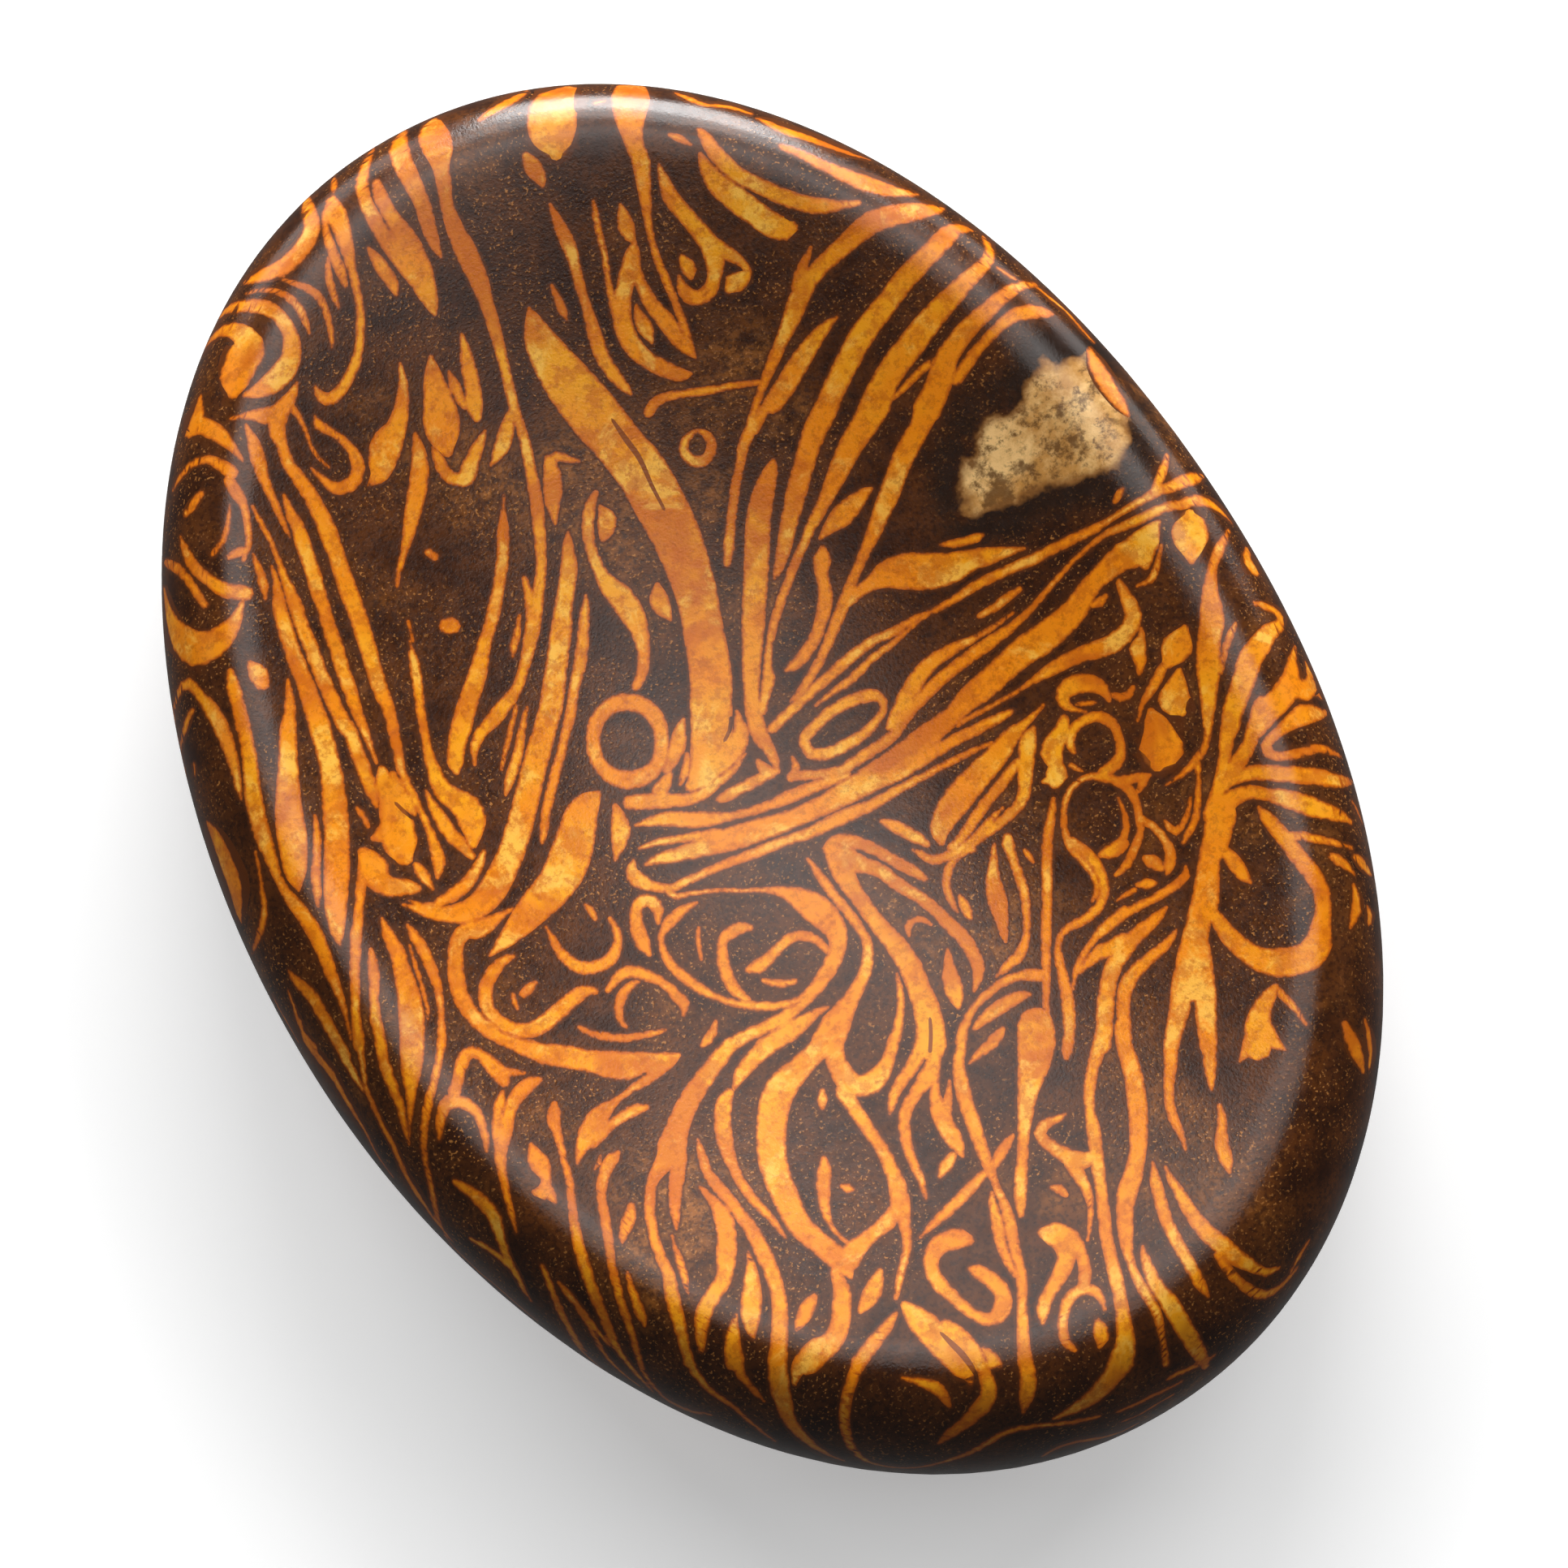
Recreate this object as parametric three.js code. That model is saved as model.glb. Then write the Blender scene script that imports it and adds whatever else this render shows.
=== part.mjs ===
// A worry stone: an oval palm stone of polished mariyam jasper, with a hollow for the thumb in its top.
// Millimetres, +Z up. The long axis lies along Y. The stone rests on a small flat spot at Z = 0,
// and the origin lies on that spot, under the middle of the stone.

import * as THREE from 'three';
import { ParametricGeometry } from 'three/addons/geometries/ParametricGeometry.js';
import { mergeVertices } from 'three/addons/utils/BufferGeometryUtils.js';

// Driving dimensions of the outline, seen from above
const LENGTH = 45;
const WIDTH = 31.9;
const OUTLINE_POWER = 2.055;      // 2 is an ellipse, more is a fuller oval
const OUTLINE_SWELL = -0.0054;    // hand grinding left three faint swells, as a share of the radius
const SWELL_TURN = 0.156;         // radians from +X to the first swell

// Driving dimensions of the height
const BELLY_HEIGHT = 3.8;         // of the widest line round the stone
const DOME_HEIGHT = 8;            // that the top would have without its hollow
const HOLLOW_DEPTH = 3.5;         // below the dome height, in the middle
const HOLLOW_POWER = 1.5;         // more gathers the hollow towards the middle

// Driving dimensions of the two roll-overs that meet at the belly
const RIM_ROLL = 3.4;             // how far in from the outline the top bends over
const RIM_POWER = 2.2;
const UNDER_ROLL = 0.62;          // how far in the underside bends, as a share of the radius
const UNDER_POWER = 2.4;

// Fineness of the faceted solid
const SEGMENTS = 88;
const TOP_ROWS = 26;
const UNDER_ROWS = 13;
const FOOT_ROWS = 1;
const ROWS = TOP_ROWS + UNDER_ROWS + FOOT_ROWS;

// Radius of the outline in one direction
function outlineRadius(angle) {
  const across = Math.abs(Math.cos(angle)) / (WIDTH / 2);
  const along = Math.abs(Math.sin(angle)) / (LENGTH / 2);
  const oval = (across ** OUTLINE_POWER + along ** OUTLINE_POWER) ** (-1 / OUTLINE_POWER);
  return oval * (1 + OUTLINE_SWELL * Math.cos(3 * (angle - SWELL_TURN)));
}

// Quarter of a rounded corner: 0 at the edge, 1 where the bend ends
function rollOver(inset, reach, power) {
  const left = Math.max(0, 1 - inset / reach);
  return Math.max(0, 1 - left ** power) ** (1 / power);
}

// Height of the top: a rounded rim with the thumb hollow sunk inside it
function topHeight(radius, outline) {
  const dome = (DOME_HEIGHT - BELLY_HEIGHT) * rollOver(outline - radius, RIM_ROLL, RIM_POWER);
  const share = radius / outline;
  const hollow = HOLLOW_DEPTH * Math.max(0, 1 - share * share) ** HOLLOW_POWER;
  return BELLY_HEIGHT + dome - hollow;
}

// Height of the underside: it bends in from the belly to the flat spot
function underHeight(radius, outline) {
  return BELLY_HEIGHT * (1 - rollOver(outline - radius, UNDER_ROLL * outline, UNDER_POWER));
}

// One point of the surface: u goes round the stone, v goes from the middle of the hollow
// over the rim and round the belly to the middle of the flat spot
function stoneSurface(u, v, target) {
  const angle = -2 * Math.PI * u;
  const outline = outlineRadius(angle);
  const row = v * ROWS;
  let radius;
  let height;
  if (row <= TOP_ROWS) {
    radius = outline * Math.sin((row / TOP_ROWS) * (Math.PI / 2));
    height = topHeight(radius, outline);
  } else if (row <= TOP_ROWS + UNDER_ROWS) {
    const bend = ((row - TOP_ROWS) / UNDER_ROWS) * (Math.PI / 2);
    radius = outline * (1 - UNDER_ROLL * (1 - Math.cos(bend)));
    height = underHeight(radius, outline);
  } else {
    radius = outline * (1 - UNDER_ROLL) * Math.max(0, (ROWS - row) / FOOT_ROWS);
    height = 0;
  }
  target.set(radius * Math.cos(angle), radius * Math.sin(angle), height);
}

// One closed mesh, centred over the origin
function stoneGeometry() {
  const sheet = new ParametricGeometry(stoneSurface, SEGMENTS, ROWS);
  sheet.deleteAttribute('normal');
  sheet.deleteAttribute('uv');
  const stone = mergeVertices(sheet);
  stone.computeBoundingBox();
  const middle = stone.boundingBox.getCenter(new THREE.Vector3());
  stone.translate(-middle.x, -middle.y, 0);
  stone.computeVertexNormals();
  return stone;
}

const jasper = new THREE.MeshStandardMaterial({ color: 0x7a3d14, roughness: 0.3, metalness: 0 });

const worryStone = new THREE.Mesh(stoneGeometry(), jasper);
worryStone.name = 'worry_stone';

const part = new THREE.Group();
part.add(worryStone);

export default part;
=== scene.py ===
import math

import bmesh
import bpy
import numpy as np
from mathutils import Matrix, Vector, noise
from mathutils.bvhtree import BVHTree
from mathutils.geometry import delaunay_2d_cdt
from mathutils.interpolate import poly_3d_calc


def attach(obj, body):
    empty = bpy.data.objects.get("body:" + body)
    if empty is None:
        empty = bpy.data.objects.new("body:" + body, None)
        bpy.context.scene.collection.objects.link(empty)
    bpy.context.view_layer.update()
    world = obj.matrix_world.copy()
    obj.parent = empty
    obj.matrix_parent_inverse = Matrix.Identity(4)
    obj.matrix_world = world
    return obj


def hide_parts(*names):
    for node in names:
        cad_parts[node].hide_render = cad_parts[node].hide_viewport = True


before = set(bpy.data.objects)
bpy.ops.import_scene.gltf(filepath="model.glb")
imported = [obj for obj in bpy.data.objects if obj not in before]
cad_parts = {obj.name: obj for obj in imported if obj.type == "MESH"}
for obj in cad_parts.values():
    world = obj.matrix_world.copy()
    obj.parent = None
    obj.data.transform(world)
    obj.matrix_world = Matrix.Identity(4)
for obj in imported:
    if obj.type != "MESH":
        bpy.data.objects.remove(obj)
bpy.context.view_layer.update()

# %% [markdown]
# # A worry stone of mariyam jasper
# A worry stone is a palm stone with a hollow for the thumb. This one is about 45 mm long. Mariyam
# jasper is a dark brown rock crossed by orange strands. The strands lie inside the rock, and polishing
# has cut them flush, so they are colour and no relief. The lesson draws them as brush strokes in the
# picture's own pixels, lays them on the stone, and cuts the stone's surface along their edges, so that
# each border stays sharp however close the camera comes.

MM = 0.001
TINY = 1e-12

# %% [markdown]
# ## The view
# The picture is square, 1932 pixels a side. It looks down at the stone from 74 degrees, and the long
# axis of the stone is turned to the left by 30. A camera can be turned by angles or aimed by three
# directions, and here the directions are chosen, because the rays through the picture's pixels are
# made from the same three. The camera comes first, because the strokes below need those rays.

# %% Camera
PICTURE = 1932
CAMERA_HEIGHT = math.radians(74)
CAMERA_TURN = math.radians(-30.4)
CAMERA_AWAY = 129.7 * MM
AIM = Vector((0.416, -0.817, 3.0)) * MM
LENS = 100
SENSOR = 36

sideways = math.cos(CAMERA_HEIGHT)
view_back = Vector((math.sin(CAMERA_TURN) * sideways, -math.cos(CAMERA_TURN) * sideways,
                    math.sin(CAMERA_HEIGHT)))
view_right = Vector((math.cos(CAMERA_TURN), math.sin(CAMERA_TURN), 0))
view_up = view_back.cross(view_right)
eye = AIM + view_back * CAMERA_AWAY

camera_data = bpy.data.cameras.new("view_camera")
camera_data.lens = LENS
camera_data.sensor_width = SENSOR
camera_data.clip_start = 0.01
camera_data.clip_end = 10
camera = bpy.data.objects.new("view_camera", camera_data)
bpy.context.scene.collection.objects.link(camera)
camera.rotation_euler = Matrix((view_right, view_up, view_back)).transposed().to_euler()
camera.location = eye
bpy.context.scene.camera = camera
print("camera at", [round(value, 4) for value in eye])

# %% [markdown]
# ## The shape as a formula
# A lapidary grinds such a stone freehand on a wheel: first the oval, then the rounded rim, then the
# hollow. It could be sculpted, but a formula gives the exact place and slope of every point, and the
# strands below need both. A point of the surface has two numbers. The angle goes round the stone. The
# turn goes from 0 in the middle of the hollow, over the rim, to half of pi on the widest line, and on
# to pi in the middle of the spot it rests on. The dimensions are the ones of the plain model.

# %% Surface from angle and turn
LENGTH = 45
WIDTH = 31.9
OUTLINE_POWER = 2.055
OUTLINE_SWELL = -0.0054
SWELL_TURN = 0.156
BELLY_HEIGHT = 3.8
DOME_HEIGHT = 8
HOLLOW_DEPTH = 3.5
HOLLOW_POWER = 1.5
RIM_ROLL = 3.4
RIM_POWER = 2.2
UNDER_ROLL = 0.62
UNDER_POWER = 2.4
OUTLINE_SAMPLES = 88


def outline_radius(angle):
    across = np.abs(np.cos(angle)) / (WIDTH / 2)
    along = np.abs(np.sin(angle)) / (LENGTH / 2)
    oval = (across ** OUTLINE_POWER + along ** OUTLINE_POWER) ** (-1 / OUTLINE_POWER)
    return oval * (1 + OUTLINE_SWELL * np.cos(3 * (angle - SWELL_TURN)))


def roll_over(inset, reach, power):
    left = np.maximum(0, 1 - inset / reach)
    return np.maximum(0, 1 - left ** power) ** (1 / power)


round_the_stone = np.linspace(0, 2 * math.pi, OUTLINE_SAMPLES, endpoint=False)
rim_x = outline_radius(round_the_stone) * np.cos(round_the_stone)
rim_y = outline_radius(round_the_stone) * np.sin(round_the_stone)
MIDDLE = np.array([(rim_x.max() + rim_x.min()) / 2, (rim_y.max() + rim_y.min()) / 2, 0])


def surface(angle, turn):
    outline = outline_radius(angle)
    share = np.sin(turn)
    radius = outline * share
    dome = (DOME_HEIGHT - BELLY_HEIGHT) * roll_over(outline - radius, RIM_ROLL, RIM_POWER)
    hollow = HOLLOW_DEPTH * np.maximum(0, 1 - share * share) ** HOLLOW_POWER
    under = BELLY_HEIGHT * (1 - roll_over(outline - radius, UNDER_ROLL * outline, UNDER_POWER))
    height = np.where(turn <= math.pi / 2, BELLY_HEIGHT + dome - hollow, under)
    points = np.stack([radius * np.cos(angle), radius * np.sin(angle), height], axis=-1)
    return (points - MIDDLE) * MM


def surface_slopes(angle, turn):
    nudge = 0.002
    round_step = (surface(angle + nudge, turn) - surface(angle - nudge, turn)) / (2 * nudge)
    turn_step = (surface(angle, turn + nudge) - surface(angle, turn - nudge)) / (2 * nudge)
    return round_step, turn_step


def surface_normal(angle, turn):
    round_step, turn_step = surface_slopes(angle, turn)
    normal = np.cross(turn_step, round_step)
    return normal / np.maximum(np.linalg.norm(normal, axis=-1, keepdims=True), TINY)


heights = surface(0.0, np.linspace(0, math.pi / 2, 400))[:, 2] / MM
print("height of the rim:", round(float(heights.max()), 2), "mm")

# %% [markdown]
# ## A flat map of the stone
# Strokes are cut on a flat sheet, as with paper. The sheet is the map that globes are drawn on from one
# pole: a point lies at its angle, and as far out as the tangent of half its turn. Small shapes keep
# their form on it, so triangles that are good on the sheet are good on the stone too.


# %% Map and its way back
def to_map(angle, turn):
    reach = np.tan(turn / 2)
    return np.stack([reach * np.cos(angle), reach * np.sin(angle)], axis=-1)


def from_map(points):
    angle = np.arctan2(points[:, 1], points[:, 0])
    turn = 2 * np.arctan(np.hypot(points[:, 0], points[:, 1]))
    return angle, turn


print("the widest line lies at", to_map(0.0, math.pi / 2)[0].round(3), "from the map's middle")

# %% [markdown]
# ## From the picture to the map
# A grid is bent over the upper side, and a ray from the camera through a pixel finds the grid's face
# there. The face remembers where its corners were before the bending, and that gives angle and turn.
# A pixel just outside the stone is moved inwards until its ray meets the stone.

# %% Grid for the rays
ANGLE_STEPS = 640
TURN_STEPS = 300
LAST_TURN = 2.4

ray_grid = bmesh.new()
bmesh.ops.create_grid(ray_grid, x_segments=ANGLE_STEPS, y_segments=TURN_STEPS, size=1)
flat = np.array([vert.co[:] for vert in ray_grid.verts])
flat_angle = flat[:, 0] * math.pi
flat_turn = (flat[:, 1] + 1) / 2 * LAST_TURN
for vert, place in zip(ray_grid.verts, surface(flat_angle, flat_turn)):
    vert.co = place
ray_grid.verts.index_update()
ray_grid.faces.ensure_lookup_table()
ray_tree = BVHTree.FromBMesh(ray_grid)
print("faces for the rays:", len(ray_grid.faces))

# %% Pixel to angle and turn
STONE_IN_PICTURE = Vector((966, 930))
MOST_MOVES = 60


def pixel_ray(pixel):
    across = (pixel.x - PICTURE / 2) / PICTURE * SENSOR / LENS
    upward = (PICTURE / 2 - pixel.y) / PICTURE * SENSOR / LENS
    return (view_right * across + view_up * upward - view_back).normalized()


def pixel_to_stone(x, y):
    pixel = Vector((x, y))
    inward = (STONE_IN_PICTURE - pixel).normalized()
    hit, _, index, _ = ray_tree.ray_cast(eye, pixel_ray(pixel))
    moves = 0
    while hit is None and moves < MOST_MOVES:
        pixel += inward
        hit, _, index, _ = ray_tree.ray_cast(eye, pixel_ray(pixel))
        moves += 1
    corners = ray_grid.faces[index].verts
    shares = poly_3d_calc([corner.co for corner in corners], hit)
    turn = sum(share * flat_turn[corner.index] for share, corner in zip(shares, corners))
    place = Vector(hit) / MM + Vector(MIDDLE)
    return math.atan2(place.y, place.x), turn


print("angle and turn in the stone's middle:", pixel_to_stone(*STONE_IN_PICTURE))

# %% [markdown]
# ## Brush strokes
# The strands are orange fibres and loops in the dark rock, and no two are alike. Each is a list of
# points along its middle: across, down and width, in pixels of the picture. A brush stroke is quicker
# to draw than an outline and keeps the slow swell and taper that strands have.
# The tables follow the stone's zones, from the far rim round to the near one. They were read from
# the picture at a magnification of almost four.

# %% Far rim, left end
FAR_LEFT_RIM = [
    [(497, 162, 10), (491, 178, 24), (496, 200, 25), (508, 225, 22), (520, 250, 19), (527, 275, 18),
     (535, 300, 13), (543, 316, 3)],
    [(460, 180, 5), (452, 200, 12), (446, 222, 16), (449, 245, 16), (461, 270, 18), (478, 298, 20),
     (500, 325, 24), (518, 350, 20)],
    [(464, 225, 10), (468, 240, 17), (481, 265, 18), (500, 295, 27), (515, 325, 29), (522, 350, 28),
     (531, 372, 18), (535, 386, 6)],
    [(454, 306, 3), (463, 318, 13), (474, 335, 17), (484, 350, 14), (488, 362, 5)],
    [(375, 243, 12), (381, 262, 18), (384, 281, 21), (372, 305, 24), (349, 328, 25), (322, 339, 20),
     (301, 348, 6)],
    [(411, 220, 7), (412, 232, 8), (411, 238, 3)],
    [(408, 246, 14), (413, 262, 26), (420, 280, 22), (426, 300, 18), (432, 325, 12), (438, 350, 10),
     (443, 375, 9), (444, 400, 10), (443, 425, 10), (437, 450, 12), (424, 475, 13), (409, 491, 15),
     (396, 489, 13), (389, 477, 4)],
    [(400, 262, 7), (402, 285, 9), (408, 305, 12), (416, 325, 13), (422, 340, 11), (425, 352, 6)],
    [(404, 318, 4), (405, 340, 8), (411, 362, 9), (417, 380, 3)],
    [(303, 362, 2), (322, 357, 5), (345, 361, 7), (362, 372, 10), (373, 388, 10), (381, 410, 3)],
    [(349, 345, 3), (371, 352, 8), (390, 363, 10), (401, 382, 8), (408, 410, 7), (409, 428, 3)],
    [(261, 400, 8), (281, 381, 14), (305, 377, 17), (330, 380, 18), (349, 396, 17), (359, 418, 20),
     (358, 442, 24), (345, 463, 28), (326, 478, 22), (302, 487, 6)],
    [(246, 440, 4), (258, 420, 12), (278, 406, 16), (300, 414, 28), (304, 430, 46), (293, 450, 46),
     (289, 470, 36), (287, 486, 12)],
    [(247, 488, 5), (244, 505, 18), (240, 522, 30), (232, 533, 14)],
    [(240, 522, 24), (255, 527, 22), (272, 537, 20), (287, 552, 10), (299, 568, 3)],
    [(284, 516, 2), (305, 512, 10), (325, 512, 20), (342, 512, 26)],
    [(358, 500, 8), (368, 514, 7), (377, 532, 4), (384, 552, 4), (398, 570, 3), (405, 576, 2)],
    [(303, 523, 3), (312, 545, 14), (318, 565, 18), (325, 590, 13), (335, 612, 10), (345, 635, 8),
     (357, 662, 3)],
    [(213, 604, 3), (222, 588, 8), (236, 573, 9), (255, 566, 10), (272, 573, 14), (285, 582, 17)],
    [(282, 592, 12), (290, 605, 16), (300, 622, 10), (305, 645, 8), (306, 670, 8), (300, 690, 4)],
    [(229, 633, 8), (238, 622, 14), (248, 608, 8)],
    [(262, 683, 5), (275, 665, 7), (281, 645, 5), (283, 622, 2)],
    [(222, 662, 3), (229, 680, 12), (240, 700, 14), (258, 715, 14), (277, 727, 18), (303, 731, 18)],
    [(203, 693, 10), (218, 700, 12), (230, 712, 10), (240, 727, 10), (252, 745, 10)],
    [(281, 687, 5), (292, 681, 11), (303, 677, 8)],
    [(312, 683, 3), (320, 705, 10), (325, 720, 12), (327, 737, 4)],
    [(388, 512, 2), (393, 524, 12), (410, 533, 9), (425, 545, 10), (438, 563, 14), (441, 582, 16),
     (430, 598, 17), (412, 601, 14), (397, 590, 9), (383, 577, 2)],
    [(512, 535, 5), (516, 560, 18), (517, 585, 22), (512, 615, 22), (505, 650, 16), (498, 680, 8),
     (491, 705, 6), (489, 722, 4)],
    [(528, 680, 9), (536, 686, 9)],
    [(553, 458, 3), (560, 475, 13), (567, 492, 12), (573, 503, 4)],
]

# %% Far rim
FAR_RIM = [
    [(591, 148, 5), (610, 135, 14), (632, 123, 16), (649, 112, 8)],
    [(700, 108, 20), (685, 124, 54), (680, 145, 60), (681, 165, 56), (684, 181, 38), (685, 190, 14)],
    [(778, 106, 34), (777, 120, 46), (776, 140, 40), (778, 160, 28), (782, 178, 22), (790, 200, 22),
     (793, 225, 17), (796, 250, 13), (799, 275, 9), (804, 300, 8), (812, 325, 9), (823, 350, 10),
     (833, 375, 8), (842, 400, 10), (857, 440, 3)],
    [(782, 298, 4), (780, 310, 16), (777, 330, 24), (770, 352, 20), (766, 375, 22), (768, 400, 23),
     (779, 425, 23), (797, 443, 20), (820, 455, 20), (840, 462, 15), (852, 460, 3)],
    [(782, 330, 14), (790, 350, 14), (803, 375, 18), (824, 400, 21), (841, 425, 16), (857, 440, 3)],
    [(784, 376, 3), (788, 390, 14), (794, 402, 19), (800, 414, 12), (803, 422, 3)],
    [(764, 252, 3), (768, 265, 14), (771, 278, 20), (777, 292, 14), (781, 299, 3)],
    [(731, 248, 3), (734, 265, 8), (739, 290, 8), (744, 312, 8), (748, 335, 7), (752, 360, 8),
     (758, 385, 10)],
    [(678, 252, 3), (688, 275, 13), (700, 300, 17), (708, 325, 13), (714, 350, 12), (722, 375, 11),
     (729, 400, 15), (737, 425, 18), (748, 450, 17), (766, 473, 14), (777, 485, 4)],
    [(647, 190, 7), (654, 202, 20), (664, 217, 18), (669, 229, 4)],
    [(680, 352, 3), (686, 366, 8), (692, 380, 11), (698, 393, 4)],
    [(812, 202, 3), (818, 222, 13), (828, 245, 20), (845, 265, 20), (862, 285, 22), (875, 303, 24),
     (881, 322, 24), (880, 342, 16), (875, 357, 18), (862, 367, 18), (848, 364, 18), (840, 352, 12),
     (837, 340, 4)],
    [(870, 295, 16), (888, 308, 20), (905, 317, 14), (917, 326, 9), (923, 337, 7)],
    [(922, 336, 8), (914, 344, 20), (903, 350, 24), (897, 358, 8)],
    [(840, 316, 6), (845, 325, 17), (850, 335, 17), (851, 341, 7)],
    [(863, 190, 5), (871, 208, 18), (886, 228, 27), (908, 246, 31), (932, 264, 30), (953, 278, 30),
     (968, 283, 27), (976, 280, 14)],
    [(825, 166, 4), (838, 171, 9), (851, 178, 3)],
    [(733, 127, 4), (739, 126, 7), (745, 124, 3)],
    [(833, 115, 6), (848, 121, 12), (866, 129, 8), (880, 130, 8), (900, 132, 10), (925, 140, 7)],
    [(799, 508, 12), (810, 494, 12), (830, 487, 10), (860, 483, 10), (885, 479, 9), (905, 475, 8),
     (935, 471, 6)],
]

# %% Far rim, right end
FAR_RIGHT_RIM = [
    [(933, 146, 4), (948, 152, 12), (965, 161, 16), (990, 168, 16), (1015, 177, 14), (1040, 187, 10),
     (1072, 197, 4)],
    [(962, 180, 8), (990, 191, 14), (1030, 211, 18), (1055, 221, 24), (1080, 230, 24), (1105, 236, 18),
     (1131, 240, 4)],
    [(861, 160, 6), (869, 170, 14), (886, 194, 20), (908, 215, 20), (938, 230, 19), (966, 243, 20),
     (995, 252, 20), (1015, 254, 19), (1035, 253, 12), (1058, 250, 6)],
    [(1162, 257, 6), (1150, 258, 18), (1129, 260, 26), (1101, 265, 28), (1073, 275, 28),
     (1047, 296, 24), (1028, 313, 22), (1010, 330, 21), (996, 347, 22), (983, 372, 24), (973, 398, 20),
     (962, 423, 15), (951, 448, 14), (941, 473, 10), (931, 500, 10)],
    [(999, 305, 3), (992, 322, 10), (985, 340, 14), (982, 355, 14)],
    [(1031, 391, 3), (1017, 403, 13), (1000, 424, 20), (984, 448, 25), (970, 472, 25), (952, 498, 24)],
    [(1198, 284, 4), (1187, 281, 14), (1172, 286, 22), (1156, 302, 25), (1130, 328, 26),
     (1112, 348, 27), (1092, 374, 27), (1077, 393, 29), (1061, 415, 30), (1047, 441, 29),
     (1031, 472, 28), (1019, 500, 28)],
    [(1212, 292, 6), (1219, 305, 13), (1218, 319, 15), (1205, 333, 18), (1189, 348, 22),
     (1174, 364, 26), (1158, 381, 28), (1140, 402, 31), (1121, 427, 33), (1104, 449, 33),
     (1088, 475, 33), (1078, 500, 38)],
    [(1155, 440, 3), (1143, 450, 9), (1127, 464, 9), (1111, 481, 7), (1100, 491, 4)],
    [(1276, 350, 6), (1262, 351, 12), (1246, 358, 16), (1232, 368, 18), (1216, 383, 21),
     (1197, 400, 23), (1181, 419, 25), (1167, 440, 27), (1161, 460, 31), (1152, 484, 32),
     (1142, 505, 36)],
    [(1229, 330, 3), (1240, 337, 7), (1252, 345, 5)],
    [(1275, 352, 4), (1295, 368, 8), (1315, 385, 8), (1335, 408, 6), (1348, 422, 3)],
    [(1297, 387, 5), (1287, 385, 15), (1268, 384, 20), (1249, 389, 17), (1233, 401, 14),
     (1219, 415, 13), (1204, 431, 13), (1192, 448, 15), (1178, 468, 14)],
]

# %% Left side
LEFT_SIDE = [
    [(531, 440, 5), (533, 458, 18), (536, 475, 28), (541, 498, 38), (544, 520, 44), (547, 540, 36),
     (551, 556, 14)],
    [(569, 412, 3), (573, 430, 12), (577, 452, 18), (582, 475, 19), (584, 500, 21), (588, 515, 10)],
    [(533, 552, 3), (541, 568, 14), (549, 583, 15), (562, 591, 16), (574, 588, 22), (580, 572, 20),
     (587, 554, 15), (594, 540, 9), (598, 531, 3)],
    [(366, 472, 3), (358, 490, 14), (345, 508, 22), (341, 530, 20), (348, 550, 14), (357, 574, 15),
     (376, 600, 18), (390, 625, 19), (402, 650, 22), (411, 675, 21), (420, 700, 21), (428, 725, 22),
     (438, 750, 22), (446, 775, 21), (454, 800, 20), (461, 825, 20), (469, 850, 19), (479, 875, 15),
     (487, 900, 10)],
    [(350, 610, 3), (358, 632, 13), (367, 650, 16), (375, 675, 19), (384, 700, 18), (391, 725, 19),
     (399, 750, 16), (406, 775, 17), (415, 800, 18), (422, 825, 18), (431, 850, 17), (439, 875, 14),
     (449, 900, 10)],
    [(311, 624, 3), (322, 645, 6), (335, 670, 6), (343, 690, 7), (349, 708, 10), (356, 725, 13),
     (365, 750, 18), (373, 775, 17), (384, 800, 18), (393, 825, 18), (404, 850, 18), (415, 875, 18),
     (425, 898, 16)],
    [(335, 698, 3), (340, 715, 8), (343, 732, 13), (345, 750, 17), (352, 775, 20), (360, 800, 20),
     (369, 825, 21), (379, 850, 22), (387, 875, 24), (395, 898, 25)],
    [(202, 725, 8), (207, 755, 22), (218, 783, 36), (240, 799, 43), (263, 793, 35), (280, 778, 25),
     (292, 760, 13), (299, 740, 4)],
    [(213, 893, 5), (215, 870, 8), (222, 850, 10), (232, 842, 14), (245, 855, 12), (260, 875, 18),
     (272, 893, 18)],
    [(228, 897, 8), (232, 885, 8), (238, 875, 5)],
    [(284, 828, 8), (288, 848, 17), (294, 870, 16), (300, 897, 18)],
    [(308, 818, 8), (318, 830, 24), (323, 842, 18)],
    [(503, 765, 3), (508, 790, 4)],
    [(507, 804, 7), (511, 820, 13), (515, 848, 12), (518, 873, 11), (522, 897, 10)],
    [(551, 771, 20), (557, 771, 20)],
    [(493, 448, 3), (497, 475, 12), (495, 500, 17), (489, 525, 24), (477, 547, 38), (471, 568, 34),
     (467, 585, 22), (454, 598, 2)],
]

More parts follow.
